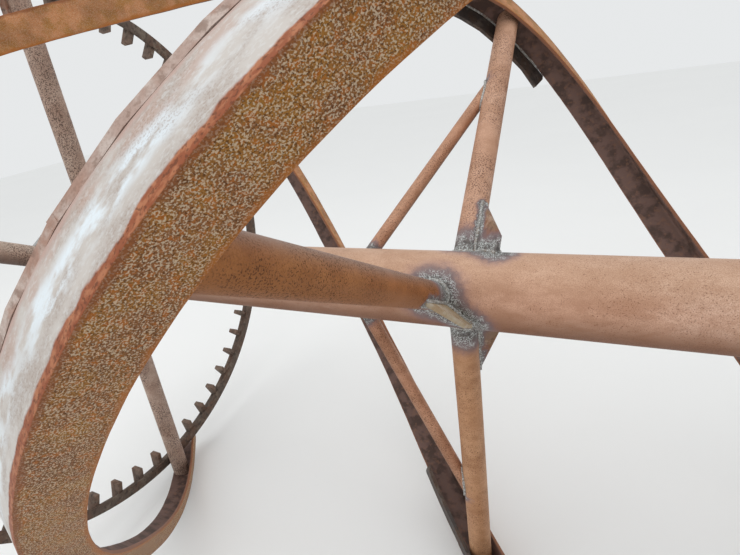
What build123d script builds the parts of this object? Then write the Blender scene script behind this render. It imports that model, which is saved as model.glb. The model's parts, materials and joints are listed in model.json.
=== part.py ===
from build123d import *
from math import asin, atan, cos, degrees, pi, radians, sin, sqrt
import os

# Mixing reel of a feeder wagon. X runs along the reel, from the drive end to the idle end.
# Y points to the far side and Z points up. The origin is the centre of the mounting face of
# the drive end's bearing flange. Angles round the reel start at +Y and grow towards +Z.
# All sizes are in millimetres.

# Main tube: 6 inch pipe
TUBE_RADIUS = 84.15
TUBE_WALL = 7.1

# Spokes and ring arms: 2 inch pipe, closed at both ends
SPOKE_RADIUS = 30.15
SADDLE_DEPTH = 30.0

# Braces: 1 inch pipe, closed at both ends
BRACE_RADIUS = 16.7
BRACE_FOOT = 270.0
BRACE_HEAD = 665.0

# Stations along the reel
WALL_GAP = 40.0
BAY = 1150.0

# Hoop at each end
HOOP_SEAT = 1.0
HOOP_FLANGE = 34.0
HOOP_WIDTH = 50.0
HOOP_STEEL = 8.0
CLEATS = 54
CLEAT_DEPTH = 68.0
CLEAT_STEEL = 18.0

# Hexagonal hub plates
HUB_CORNER = 262.0
HUB_STEEL = 12.0

# Helical bars: rolled angle 3 x 2 1/2 x 3/8 inch
REEL_RADIUS = 913.0
BAR_DIP = 188.0
BAR_LEG = 76.2
BAR_WEB = 63.5
BAR_STEEL = 9.5
BAR_ROLL = 12.0
BAR_TWIST = 120.0
BAR_SWAY = 3.8
BAR_STEPS = 24
TIP_STEPS = 3

# Side plates that close the angle round the middle spokes' ends
SPLICE_REACH = 150.0
SPLICE_DEPTH = 58.0
SPLICE_END = 14.0
SPLICE_CHAMFER = 24.0
SPLICE_LAP = 4.0
SPLICE_STEPS = 3

# Gussets at the middle spokes' feet
GUSSET_REACH = 96.0
GUSSET_TOP = 222.0
GUSSET_CORNER = 106.0
GUSSET_STEEL = 9.5

# Ears beside the ring arms' outer ends
EAR_LENGTH = 96.0
EAR_DEPTH = 26.0
EAR_STEEL = 8.0

# Stub shafts and bearings
SHAFT_RADIUS = 38.1
SHAFT_CHAMFER = 2.0
DRIVE_STUB = 190.0
DRIVE_END_RADIUS = 35.0
SHAFT_SHOULDER = 4.0
KEY_WIDTH = 20.0
KEY_DEPTH = 7.5
KEY_LENGTH = 90.0
KEY_ANGLE = 54.0
SHAFT_SEAT = 120.0
PLUG_STEEL = 25.0
TUBE_OVERHANG = 20.0
COLLAR_RADIUS = 48.0
COLLAR_LENGTH = 74.0
FLANGE_SIDE = 200.0
FLANGE_CORNER = 26.0
FLANGE_STEEL = 22.0
BOLT_SPACING = 159.0
BOLT_HOLE = 23.0
BOSS_RADIUS = 78.0
BOSS_LENGTH = 38.0
COLLAR_PROUD = 12.0

# Clearances
WELD_GAP = 0.2
SPLICE_GAP = 0.5
BAR_ROOM = 1.5
SPOKE_ROOM = 2.8
RUNNING_GAP = 0.5

# Places that follow from the sizes
HOOP_INNER_FACE = WALL_GAP + HOOP_WIDTH
LEFT_X = HOOP_INNER_FACE + SPOKE_RADIUS + WELD_GAP
MIDDLE_X = LEFT_X + BAY
RIGHT_X = MIDDLE_X + BAY
IDLE_FACE_X = RIGHT_X + LEFT_X
TUBE_END = HOOP_INNER_FACE - HUB_STEEL - TUBE_OVERHANG
BAR_PITCH = radians(BAR_TWIST) / BAY
SEAT_PITCH = BAR_PITCH - 2 * pi * radians(BAR_SWAY) / BAY
SEAT_SLANT = atan(SEAT_PITCH * REEL_RADIUS)
SEAT_OFFSET = SPOKE_RADIUS + BAR_STEEL + BAR_ROOM
BAR_LEAD = degrees(asin(SEAT_OFFSET / REEL_RADIUS)) / cos(SEAT_SLANT)
HOOP_RADIUS = (
    REEL_RADIUS
    - BAR_WEB * cos(radians(BAR_ROLL))
    - BAR_STEEL * sin(radians(BAR_ROLL))
    - HOOP_SEAT
)
SADDLE = sqrt(TUBE_RADIUS**2 - SPOKE_RADIUS**2) - SADDLE_DEPTH

os.makedirs("parts", exist_ok=True)


def radial(angle):
    """Unit vector that points away from the reel's axis at an angle."""
    return Vector(0, cos(radians(angle)), sin(radians(angle)))


def around(angle):
    """Unit vector that points round the reel, towards growing angles."""
    return Vector(0, -sin(radians(angle)), cos(radians(angle)))


def spoke_plane(x, angle, side=0.0):
    """Plane across a spoke, on the reel's axis, with its normal along the spoke."""
    return Plane(origin=Vector(x, 0, 0) + around(angle) * side, x_dir=(1, 0, 0), z_dir=radial(angle))


# Spokes of the middle spider as they are welded. Columns: name, angle of the bar's joint, drift from
# it in degrees, the foot's shift along the tube and to the side, the head's shifts along and to the side.
MIDDLE_SPOKES = [
    ("far", 30.0, 6.7, 0.0, 0.0, 0.0, 0.0),
    ("near", 150.0, 0.0, -40.0, 20.0, -24.0, 30.0),
    ("low", 270.0, 2.5, 0.0, 0.0, 0.0, 0.0),
]

# Spiders at the ends. Columns: name, place along the reel, side that faces the wall.
END_SPIDERS = [
    ("drive", LEFT_X, -1),
    ("idle", RIGHT_X, 1),
]


def bar_frame(share, bay, angle, drift):
    """Corner, outward and crosswise directions of a bar, where share runs from 0 to 1 along a bay."""
    inside = min(max(share, 0.0), 1.0)
    swell = cos(2 * pi * inside)
    radius = REEL_RADIUS - BAR_DIP * (1 - swell) / 2
    turn = -BAR_TWIST * share if bay else BAR_TWIST * (1 - share)
    sway = BAR_SWAY * sin(2 * pi * inside)
    if share != inside:
        sway += 2 * pi * BAR_SWAY * (share - inside)
    at = angle + BAR_LEAD + turn + sway + drift * ((1 - inside) if bay else inside)
    x = (MIDDLE_X if bay else LEFT_X) + BAY * share
    slant = atan(radius * (BAR_PITCH - 2 * pi * radians(BAR_SWAY) * swell / BAY))
    across = Vector(1, 0, 0) * sin(slant) + around(at) * cos(slant)
    return Vector(x, 0, 0) + radial(at) * radius, radial(at), across


def bar_leg(outward, across):
    """Direction of the bar's outer leg, away from its corner."""
    roll = radians(BAR_ROLL)
    return across * -cos(roll) - outward * sin(roll)


def bar_section(share, bay, angle, drift):
    """Plane of a bar's section, with x along the outer leg and y along the web."""
    corner, outward, across = bar_frame(share, bay, angle, drift)
    return Plane(origin=corner, x_dir=bar_leg(outward, across), z_dir=across.cross(outward))


def leg_edge(offset, angle, drift):
    """Point on the outer leg's free edge, at a distance along the reel from the bars' joint."""
    bay = 0 if offset < 0 else 1
    corner, outward, across = bar_frame(offset / BAY + 1 - bay, bay, angle, drift)
    return corner + bar_leg(outward, across) * BAR_LEG


# Main tube
with BuildPart() as main_tube:
    with BuildSketch(Plane.YZ.offset(TUBE_END)):
        Circle(TUBE_RADIUS)
        Circle(TUBE_RADIUS - TUBE_WALL, mode=Mode.SUBTRACT)
    extrude(amount=IDLE_FACE_X - 2 * TUBE_END)
main_tube.part.label = "main_tube"
export_step(main_tube.part, "parts/main_tube.step")


# Middle spider: spokes, gussets and braces

def cut_tube(x, reach):
    """Cuts the main tube's seat out of the open part."""
    with BuildSketch(Plane.YZ.offset(x - reach)) as seat_profile:
        Circle(TUBE_RADIUS + WELD_GAP)
    extrude(seat_profile.sketch, amount=2 * reach, mode=Mode.SUBTRACT)


def seat_under_bar(x, angle, drift):
    """Cuts the open part off just under the outer leg of the bar that passes over a place."""
    seat_x = x + SEAT_OFFSET * sin(SEAT_SLANT)
    bay = 0 if seat_x < MIDDLE_X else 1
    share = (seat_x - (MIDDLE_X if bay else LEFT_X)) / BAY
    section = bar_section(share, bay, angle, drift)
    reach = SPOKE_RADIUS / BAY
    along = bar_frame(share + reach, bay, angle, drift)[0] - bar_frame(share, bay, angle, drift)[0]
    inward = section.x_dir.cross(along).normalized()
    face = section.origin + inward * (BAR_STEEL + SPOKE_ROOM)
    split(bisect_by=Plane(origin=face, z_dir=inward), keep=Keep.TOP)


def make_pipe(plane, start, end, radius):
    """Adds a closed pipe to the open part, along the plane's normal."""
    with BuildSketch(plane.offset(start)) as disc:
        Circle(radius)
    extrude(disc.sketch, amount=end - start)


for name, angle, drift, shift, side, head_shift, head_side in MIDDLE_SPOKES:
    x = MIDDLE_X + shift
    foot = Vector(x, 0, 0) + around(angle + drift) * side
    tip = Vector(MIDDLE_X + head_shift, 0, 0) + around(angle + drift) * head_side
    up = (tip + radial(angle + drift) * REEL_RADIUS - foot).normalized()
    plane = Plane(origin=foot, x_dir=Vector(1, 0, 0).cross(up).cross(up) * -1, z_dir=up)
    with BuildPart() as spoke:
        make_pipe(plane, SADDLE, REEL_RADIUS, SPOKE_RADIUS)
        cut_tube(x, 2 * SPOKE_RADIUS)
        seat_under_bar(tip.X, angle, drift)
    spoke.part.label = f"middle_spoke_{name}"
    export_step(spoke.part, f"parts/middle_spoke_{name}.step")

    skew = Vector(1, 0, 0) * sin(SEAT_SLANT) + around(angle + drift) * cos(SEAT_SLANT)
    gusset_plane = Plane(origin=plane.origin, x_dir=skew, z_dir=skew.cross(up))
    with BuildPart() as gusset:
        with BuildSketch(gusset_plane):
            with BuildLine():
                Polyline(
                    (0, 0),
                    (GUSSET_REACH, 0),
                    (GUSSET_REACH, GUSSET_CORNER),
                    (SPOKE_RADIUS, GUSSET_TOP),
                    (0, GUSSET_TOP),
                    close=True,
                )
            make_face()
        extrude(amount=GUSSET_STEEL / 2, both=True)
        cut_tube(x, 2 * GUSSET_REACH)
        with BuildSketch(plane):
            Circle(SPOKE_RADIUS + WELD_GAP)
        extrude(amount=2 * GUSSET_TOP, mode=Mode.SUBTRACT)
    gusset.part.label = f"gusset_{name}"
    export_step(gusset.part, f"parts/gusset_{name}.step")

    brace_foot = foot - Vector(BRACE_FOOT, 0, 0)
    brace = foot + up * BRACE_HEAD - brace_foot
    brace_plane = Plane(origin=brace_foot, z_dir=brace)
    run = brace.length
    with BuildPart() as brace:
        make_pipe(brace_plane, TUBE_RADIUS / 2, run, BRACE_RADIUS)
        cut_tube(x - BRACE_FOOT, 8 * BRACE_RADIUS)
        with BuildSketch(plane):
            Circle(SPOKE_RADIUS + WELD_GAP)
        extrude(amount=REEL_RADIUS, mode=Mode.SUBTRACT)
    brace.part.label = f"brace_{name}"
    export_step(brace.part, f"parts/brace_{name}.step")


# Bars, one length of angle per bay, and the side plates at their joints
def make_bar(bay, angle, drift):
    """Returns one length of helical angle, cut flush with the hoop's wall side."""
    wall_side = WALL_GAP if bay == 0 else IDLE_FACE_X - WALL_GAP
    past = (LEFT_X - WALL_GAP + BAR_LEG) / BAY
    shares = [step / BAR_STEPS for step in range(BAR_STEPS + 1)]
    if bay == 0:
        shares = [past * step / TIP_STEPS for step in range(-TIP_STEPS, 0)] + shares
    else:
        shares += [1 + past * step / TIP_STEPS for step in range(1, TIP_STEPS + 1)]
    with BuildPart() as bar:
        for share in shares:
            with BuildSketch(bar_section(share, bay, angle, drift)):
                with BuildLine():
                    Polyline(
                        (0, 0),
                        (BAR_LEG, 0),
                        (BAR_LEG, BAR_STEEL),
                        (BAR_STEEL, BAR_STEEL),
                        (BAR_STEEL, BAR_WEB),
                        (0, BAR_WEB),
                        close=True,
                    )
                make_face()
        loft(ruled=True)
        keep = Keep.TOP if bay == 0 else Keep.BOTTOM
        split(bisect_by=Plane.YZ.offset(wall_side), keep=keep)
    return bar


for name, angle, drift, *_ in MIDDLE_SPOKES:
    for bay, end in enumerate(("drive", "idle")):
        bar = make_bar(bay, angle, drift)
        bar.part.label = f"bar_{end}_{name}"
        export_step(bar.part, f"parts/bar_{end}_{name}.step")

    outward = radial(angle + BAR_LEAD + drift)
    joint = leg_edge(0, angle, drift)
    with BuildPart() as splice:
        for hand in (-1, 1):
            end = leg_edge(hand * SPLICE_REACH, angle, drift)
            normal = outward.cross(end - joint).normalized() * hand
            flat = Plane(origin=joint, x_dir=normal.cross(outward), z_dir=normal)
            steps = [hand * SPLICE_REACH * step / SPLICE_STEPS for step in range(1, SPLICE_STEPS + 1)]
            edge = [flat.to_local_coords(leg_edge(step, angle, drift)) for step in steps]
            lift = max(point.Z for point in edge) + SPLICE_GAP
            tip = edge[-1]
            outline = [(-hand * SPLICE_LAP, 0)] + [(point.X, point.Y) for point in edge]
            outline += [(tip.X, tip.Y + SPLICE_END), (tip.X - hand * SPLICE_CHAMFER, tip.Y + SPLICE_DEPTH)]
            outline += [(point.X, point.Y + SPLICE_DEPTH) for point in edge[-2::-1]]
            outline += [(-hand * SPLICE_LAP, SPLICE_DEPTH)]
            with BuildSketch(flat.offset(lift)):
                with BuildLine():
                    Polyline(*outline, close=True)
                make_face()
            extrude(amount=BAR_STEEL)
    splice.part.label = f"splice_{name}"
    export_step(splice.part, f"parts/splice_{name}.step")


# End spiders: spokes to the bars, arms to the hoop, hub plate, hoop and ears
for end, x, out in END_SPIDERS:
    seat = x + out * (SPOKE_RADIUS + WELD_GAP)
    for name, angle, *_ in MIDDLE_SPOKES:
        with BuildPart() as spoke:
            make_pipe(spoke_plane(x, angle), SADDLE, REEL_RADIUS, SPOKE_RADIUS)
            cut_tube(x, 2 * SPOKE_RADIUS)
            seat_under_bar(x, angle + out * BAR_TWIST, 0.0)
        spoke.part.label = f"{end}_spoke_{name}"
        export_step(spoke.part, f"parts/{end}_spoke_{name}.step")

        with BuildPart() as arm:
            make_pipe(spoke_plane(x, angle + 60), SADDLE, HOOP_RADIUS, SPOKE_RADIUS)
            cut_tube(x, 2 * SPOKE_RADIUS)
        arm.part.label = f"{end}_ring_arm_{name}"
        export_step(arm.part, f"parts/{end}_ring_arm_{name}.step")

    with BuildPart() as hub:
        with BuildSketch(Plane.YZ.offset(min(seat, seat + out * HUB_STEEL))):
            RegularPolygon(HUB_CORNER, 6, rotation=MIDDLE_SPOKES[0][1])
            Circle(TUBE_RADIUS + WELD_GAP, mode=Mode.SUBTRACT)
        extrude(amount=HUB_STEEL)
    hub.part.label = f"{end}_hub_plate"
    export_step(hub.part, f"parts/{end}_hub_plate.step")

    with BuildPart() as hoop:
        near_wall = min(seat, seat + out * HOOP_WIDTH)
        with BuildSketch(Plane.YZ.offset(near_wall)):
            Circle(HOOP_RADIUS)
            RegularPolygon(HOOP_RADIUS - HOOP_STEEL, CLEATS, mode=Mode.SUBTRACT)
        extrude(amount=HOOP_WIDTH)
        with BuildSketch(Plane.YZ.offset(min(seat, seat + out * HOOP_STEEL))):
            Circle(HOOP_RADIUS)
            RegularPolygon(HOOP_RADIUS - HOOP_FLANGE, CLEATS, mode=Mode.SUBTRACT)
        extrude(amount=HOOP_STEEL)
        cleat_seat = seat + out * HOOP_STEEL
        cleat_width = HOOP_WIDTH - HOOP_STEEL
        with BuildSketch(Plane.YZ.offset(min(cleat_seat, cleat_seat + out * cleat_width))):
            with PolarLocations(HOOP_RADIUS - HOOP_STEEL / 2 - CLEAT_DEPTH / 2, CLEATS):
                Rectangle(CLEAT_DEPTH, CLEAT_STEEL)
        extrude(amount=cleat_width)
    hoop.part.label = f"{end}_hoop"
    export_step(hoop.part, f"parts/{end}_hoop.step")

    with BuildPart() as ears:
        for name, angle, *_ in MIDDLE_SPOKES:
            for hand in (-1, 1):
                place = spoke_plane(x, angle + 60, hand * (SPOKE_RADIUS + WELD_GAP + EAR_STEEL / 2))
                with BuildSketch(place.offset(HOOP_RADIUS - EAR_LENGTH)):
                    with Locations((out * (SPOKE_RADIUS - EAR_DEPTH / 2), 0)):
                        Rectangle(EAR_DEPTH, EAR_STEEL)
                extrude(amount=EAR_LENGTH)
    ears.part.label = f"{end}_arm_ears"
    export_step(ears.part, f"parts/{end}_arm_ears.step")

    # Stub shaft with its plug in the tube, and bearing
    face = 0.0 if out < 0 else IDLE_FACE_X
    tube_end = TUBE_END if out < 0 else IDLE_FACE_X - TUBE_END
    collar_end = face + out * (FLANGE_STEEL + BOSS_LENGTH + COLLAR_PROUD)
    with BuildPart() as shaft:
        shoulder = collar_end + out * SHAFT_SHOULDER
        root = tube_end - out * SHAFT_SEAT
        with BuildSketch(Plane.YZ.offset(min(shoulder, root))):
            Circle(SHAFT_RADIUS)
        extrude(amount=abs(root - shoulder))
        if out < 0:
            with BuildSketch(Plane.YZ.offset(-DRIVE_STUB)):
                Circle(DRIVE_END_RADIUS)
            extrude(amount=DRIVE_STUB + shoulder)
        end_edges = shaft.edges().filter_by(GeomType.CIRCLE).sort_by(Axis.X)
        chamfer(end_edges[0] if out < 0 else end_edges[-1], length=SHAFT_CHAMFER)
        if out < 0:
            key_side = radial(KEY_ANGLE)
            with BuildSketch(Plane(origin=key_side * DRIVE_END_RADIUS, x_dir=(1, 0, 0), z_dir=key_side)):
                with Locations((KEY_LENGTH / 2 - DRIVE_STUB, 0)):
                    Rectangle(KEY_LENGTH, KEY_WIDTH)
            extrude(amount=-KEY_DEPTH, mode=Mode.SUBTRACT)
        with BuildSketch(Plane.YZ.offset(min(tube_end, tube_end - out * PLUG_STEEL))):
            Circle(TUBE_RADIUS - TUBE_WALL - WELD_GAP)
        extrude(amount=PLUG_STEEL)
    shaft.part.label = f"{end}_stub_shaft"
    export_step(shaft.part, f"parts/{end}_stub_shaft.step")

    with BuildPart() as collar:
        with BuildSketch(Plane.YZ.offset(min(collar_end, collar_end - out * COLLAR_LENGTH))):
            Circle(COLLAR_RADIUS)
            Circle(SHAFT_RADIUS + WELD_GAP, mode=Mode.SUBTRACT)
        extrude(amount=COLLAR_LENGTH)
    collar.part.label = f"{end}_bearing_collar"
    export_step(collar.part, f"parts/{end}_bearing_collar.step")

    with BuildPart() as housing:
        with BuildSketch(Plane.YZ.offset(min(face, face + out * FLANGE_STEEL))):
            with BuildLine():
                half, cut = FLANGE_SIDE / 2, FLANGE_SIDE / 2 - FLANGE_CORNER
                Polyline(
                    (half, -cut),
                    (half, cut),
                    (cut, half),
                    (-cut, half),
                    (-half, cut),
                    (-half, -cut),
                    (-cut, -half),
                    (cut, -half),
                    close=True,
                )
            make_face()
            with GridLocations(BOLT_SPACING, BOLT_SPACING, 2, 2):
                Circle(BOLT_HOLE / 2, mode=Mode.SUBTRACT)
        extrude(amount=FLANGE_STEEL)
        boss_plane = Plane(origin=(face + out * FLANGE_STEEL, 0, 0), x_dir=(0, 1, 0), z_dir=(out, 0, 0))
        with BuildSketch(boss_plane):
            Circle(BOSS_RADIUS)
        extrude(amount=BOSS_LENGTH)
        with BuildSketch(Plane.YZ.offset(min(face, face + out * (FLANGE_STEEL + BOSS_LENGTH)))):
            Circle(COLLAR_RADIUS + RUNNING_GAP)
        extrude(amount=FLANGE_STEEL + BOSS_LENGTH, mode=Mode.SUBTRACT)
    housing.part.label = f"{end}_bearing_housing"
    export_step(housing.part, f"parts/{end}_bearing_housing.step")
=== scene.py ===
"""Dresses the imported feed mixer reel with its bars, hoops, welds, bearings and weathered finishes.

Lengths are metres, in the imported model's frame: X along the reel from the drive end to the idle
end, Y to the far side, Z up. Sizes in millimetres carry the ending _mm.
"""

import json
import logging
import random
from collections.abc import Sequence
from dataclasses import dataclass
from enum import Enum
from math import asin, atan, cos, degrees, pi, radians, sin, sqrt

import bmesh
import bpy
from mathutils import Matrix, Vector, noise

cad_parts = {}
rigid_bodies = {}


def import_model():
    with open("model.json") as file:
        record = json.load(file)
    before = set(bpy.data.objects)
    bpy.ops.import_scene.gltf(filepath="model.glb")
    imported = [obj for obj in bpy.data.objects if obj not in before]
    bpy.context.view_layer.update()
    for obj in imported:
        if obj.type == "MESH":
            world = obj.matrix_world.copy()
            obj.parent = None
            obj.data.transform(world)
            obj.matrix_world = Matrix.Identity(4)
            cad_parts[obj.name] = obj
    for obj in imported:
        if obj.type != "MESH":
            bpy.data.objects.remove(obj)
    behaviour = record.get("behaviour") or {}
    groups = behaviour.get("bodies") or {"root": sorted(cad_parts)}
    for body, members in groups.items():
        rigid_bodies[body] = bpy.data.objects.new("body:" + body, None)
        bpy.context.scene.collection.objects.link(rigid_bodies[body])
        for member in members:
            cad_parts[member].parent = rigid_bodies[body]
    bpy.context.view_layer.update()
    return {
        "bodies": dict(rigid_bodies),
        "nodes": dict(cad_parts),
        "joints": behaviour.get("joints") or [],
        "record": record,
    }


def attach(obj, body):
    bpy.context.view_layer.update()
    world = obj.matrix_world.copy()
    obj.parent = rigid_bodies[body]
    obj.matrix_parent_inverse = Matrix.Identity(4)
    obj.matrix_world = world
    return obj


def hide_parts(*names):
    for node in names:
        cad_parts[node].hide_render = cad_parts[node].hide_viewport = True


LOG = logging.getLogger("reel")
MM = 0.001
ORIGIN = Vector((0.0, 0.0, 0.0))
ALONG = Vector((1.0, 0.0, 0.0))

# Steps of a full round of weld or seal
ROUND_STEPS = 72
# Edges that bend by more than this stay sharp
SHARP = radians(35)
# Start of the vector noise, which otherwise starts from the time of day
NOISE_SEED = 7
# What a node's setting or input takes: a socket, a place, a colour, a number or a word
Value = bpy.types.NodeSocket | Vector | tuple[float, ...] | float | str


class End(Enum):
    """The reel's two ends, each with the side of its wall along X."""

    DRIVE = -1
    IDLE = 1

    @property
    def tag(self) -> str:
        """Name of the end in the nodes' names."""
        return self.name.lower()


class Arm(Enum):
    """The three bar joints at the middle, each with its angle round the reel in degrees."""

    FAR = 30.0
    NEAR = 150.0
    LOW = 270.0

    @property
    def tag(self) -> str:
        """Name of the joint in the nodes' names."""
        return self.name.lower()


@dataclass(frozen=True)
class MiddleSpoke:
    """How one middle spoke is welded in: drift in degrees, then the foot's and head's shifts."""

    drift: float = 0.0
    foot_along: float = 0.0
    foot_side: float = 0.0
    head_along: float = 0.0
    head_side: float = 0.0


MIDDLE = {
    Arm.FAR: MiddleSpoke(drift=6.7),
    Arm.NEAR: MiddleSpoke(foot_along=-0.040, foot_side=0.020, head_along=-0.024, head_side=0.030),
    Arm.LOW: MiddleSpoke(drift=2.5),
}


def radial(angle: float) -> Vector:
    """Unit vector away from the reel's axis at an angle in degrees."""
    return Vector((0.0, cos(radians(angle)), sin(radians(angle))))


def around(angle: float) -> Vector:
    """Unit vector round the reel, towards growing angles."""
    return Vector((0.0, -sin(radians(angle)), cos(radians(angle))))


@dataclass(frozen=True)
class Layout:
    """The reel's own sizes, the same as the solids'."""

    tube: float = 0.08415
    spoke: float = 0.03015
    brace: float = 0.0167
    brace_foot: float = 0.270
    brace_head: float = 0.665
    left: float = 0.12035
    bay: float = 1.150
    wall_gap: float = 0.040
    reel: float = 0.913
    dip: float = 0.188
    leg: float = 0.0762
    web: float = 0.0635
    steel: float = 0.0095
    roll: float = 12.0
    twist: float = 120.0
    sway: float = 3.8
    bar_room: float = 0.0015
    hoop_seat: float = 0.001
    hoop_flange: float = 0.034
    hoop_width: float = 0.050
    hoop_steel: float = 0.008
    cleats: int = 54
    cleat_depth: float = 0.068
    cleat_steel: float = 0.018
    gusset_reach: float = 0.096
    gusset_top: float = 0.222

    @property
    def middle(self) -> float:
        """Place of the middle spider along the reel."""
        return self.left + self.bay

    @property
    def right(self) -> float:
        """Place of the idle end's spider along the reel."""
        return self.middle + self.bay

    @property
    def idle_face(self) -> float:
        """Place of the idle bearing's mounting face."""
        return self.right + self.left

    @property
    def seat_slant(self) -> float:
        """Angle between a bar and the reel's axis where a spoke meets it."""
        pitch = radians(self.twist - 2 * pi * self.sway) / self.bay
        return atan(pitch * self.reel)

    @property
    def lead(self) -> float:
        """Degrees by which a bar's corner leads the spoke under it."""
        offset = self.spoke + self.steel + self.bar_room
        return degrees(asin(offset / self.reel)) / cos(self.seat_slant)

    @property
    def hoop(self) -> float:
        """Outer radius of a hoop."""
        roll = radians(self.roll)
        return self.reel - self.web * cos(roll) - self.steel * sin(roll) - self.hoop_seat

    def bar_frame(self, share: float, bay: End, arm: Arm) -> Matrix:
        """Frame of a bar's section.

        Args:
            share: Place along the bay, from 0 at the drive side to 1, and past either end.
            bay: The end whose bay it is.
            arm: The bar's joint at the middle.

        Returns:
            Matrix with its origin at the outer corner, X along the leg and Y along the web.
        """
        idle = bay is End.IDLE
        inside = min(max(share, 0.0), 1.0)
        swell = cos(2 * pi * inside)
        radius = self.reel - self.dip * (1 - swell) / 2
        turn = -self.twist * share if idle else self.twist * (1 - share)
        sway = self.sway * (sin(2 * pi * inside) + 2 * pi * (share - inside))
        held = 1 - inside if idle else inside
        at = arm.value + self.lead + turn + sway + MIDDLE[arm].drift * held
        pitch = radians(self.twist) / self.bay - 2 * pi * radians(self.sway) * swell / self.bay
        slant = atan(radius * pitch)
        across = ALONG * sin(slant) + around(at) * cos(slant)
        roll = radians(self.roll)
        leg = across * -cos(roll) - radial(at) * sin(roll)
        web = radial(at) * -cos(roll) + across * sin(roll)
        x = (self.middle if idle else self.left) + self.bay * share
        corner = ALONG * x + radial(at) * radius
        frame = Matrix((leg, web, leg.cross(web))).transposed().to_4x4()
        frame.translation = corner
        return frame

    def spoke_line(self, arm: Arm) -> tuple[Vector, Vector]:
        """Line of a middle spoke.

        Args:
            arm: The spoke.

        Returns:
            Its foot beside the reel's axis, and its direction.
        """
        weld = MIDDLE[arm]
        angle = arm.value + weld.drift
        foot = ALONG * (self.middle + weld.foot_along) + around(angle) * weld.foot_side
        head = ALONG * (self.middle + weld.head_along) + around(angle) * weld.head_side
        head += radial(angle) * self.reel
        return foot, (head - foot).normalized()

    def brace_line(self, arm: Arm) -> tuple[Vector, Vector]:
        """Foot of a brace, inside the tube, and its head, inside the spoke."""
        foot, way = self.spoke_line(arm)
        return foot - ALONG * self.brace_foot, foot + way * self.brace_head


SIZE = Layout()


def meet(start: Vector, way: Vector, axis: Vector, axis_way: Vector, radius: float) -> Vector:
    """Point where a line leaves a cylinder.

    Args:
        start: Point on the line.
        way: Direction of the line.
        axis: Point on the cylinder's axis.
        axis_way: Direction of the cylinder's axis.
        radius: Radius of the cylinder.

    Returns:
        The crossing furthest along the line.
    """
    offset = start - axis
    flat = offset - axis_way * offset.dot(axis_way)
    slope = way - axis_way * way.dot(axis_way)
    a, b, c = slope.dot(slope), 2 * flat.dot(slope), flat.dot(flat) - radius * radius
    root = max(b * b - 4 * a * c, 0.0)
    return start + way * ((-b + sqrt(root)) / (2 * a))


def skin_ring(
    start: Vector, way: Vector, radius: float, axis: Vector, axis_way: Vector, outer: float
) -> list[Vector]:
    """Points where a pipe's skin meets another pipe's skin.

    Args:
        start: Point on the axis of the pipe that ends there.
        way: Direction of that pipe.
        radius: Radius of that pipe.
        axis: Point on the axis of the pipe that carries it.
        axis_way: Direction of the pipe that carries it.
        outer: Radius of the pipe that carries it.

    Returns:
        Points round the pipe's foot.
    """
    side = way.orthogonal().normalized()
    other = way.cross(side)
    points = []
    for step in range(ROUND_STEPS):
        turn = 2 * pi * step / ROUND_STEPS
        offset = side * (radius * cos(turn)) + other * (radius * sin(turn))
        points.append(meet(start + offset, way, axis, axis_way, outer))
    return points


# Meshes


def make_object(name: str, mesh_maker: bmesh.types.BMesh, smooth: bool = True) -> bpy.types.Object:
    """Turns a bmesh into an object of the scene.

    Args:
        name: Name of the piece.
        mesh_maker: The finished bmesh, which is freed.
        smooth: Whether its faces are shaded smooth, with its sharp edges kept.

    Returns:
        The new object, at the origin.
    """
    mesh = bpy.data.meshes.new(name)
    if smooth:
        for face in mesh_maker.faces:
            face.smooth = True
        for edge in mesh_maker.edges:
            if len(edge.link_faces) == 2 and edge.calc_face_angle(0.0) > SHARP:
                edge.smooth = False
    mesh_maker.to_mesh(mesh)
    mesh_maker.free()
    piece = bpy.data.objects.new(name, mesh)
    bpy.context.scene.collection.objects.link(piece)
    return piece


def sweep(
    outline: Sequence[tuple[float, float]],
    girths: Sequence[float],
    frames: Sequence[Matrix],
    runs: Sequence[float],
    closed: bool = False,
) -> bmesh.types.BMesh:
    """Extrudes a closed outline through frames, with a UV map of run and girth in metres.

    Args:
        outline: Points of the outline in each frame's XY plane.
        girths: Girth at each point, and one more for the way back to the first.
        frames: Places of the outline.
        runs: Distance along the sweep at each frame.
        closed: Whether the last frame joins the first.

    Returns:
        The swept bmesh.
    """
    maker = bmesh.new()
    point_of = maker.verts.layers.int.new("point")
    ring_of = maker.verts.layers.int.new("ring")
    verts = [maker.verts.new(frames[0] @ Vector((x, y, 0.0))) for x, y in outline]
    for index, vert in enumerate(verts):
        vert[point_of] = index
    count = len(verts)
    edges = [maker.edges.new((verts[i], verts[(i + 1) % count])) for i in range(count)]
    first = edges
    if not closed:
        maker.faces.new(verts)
    for ring in range(1, len(frames)):
        made = bmesh.ops.extrude_edge_only(maker, edges=edges)["geom"]
        new = [item for item in made if isinstance(item, bmesh.types.BMVert)]
        edges = [item for item in made if isinstance(item, bmesh.types.BMEdge)]
        step = frames[ring] @ frames[ring - 1].inverted()
        bmesh.ops.transform(maker, matrix=step, verts=new)
        for vert in new:
            vert[ring_of] = ring
    if closed:
        bmesh.ops.bridge_loops(maker, edges=first + edges)
    else:
        bmesh.ops.holes_fill(maker, edges=edges, sides=0)
    strip = maker.loops.layers.uv.new("Strip")
    for face in maker.faces:
        points = [loop.vert[point_of] for loop in face.loops]
        wraps = len(points) == 4 and 0 in points and count - 1 in points
        for loop in face.loops:
            point = loop.vert[point_of]
            girth = girths[count] if wraps and point == 0 else girths[point]
            loop[strip].uv = (runs[loop.vert[ring_of]], girth)
    bmesh.ops.recalc_face_normals(maker, faces=maker.faces)
    return maker


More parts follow.
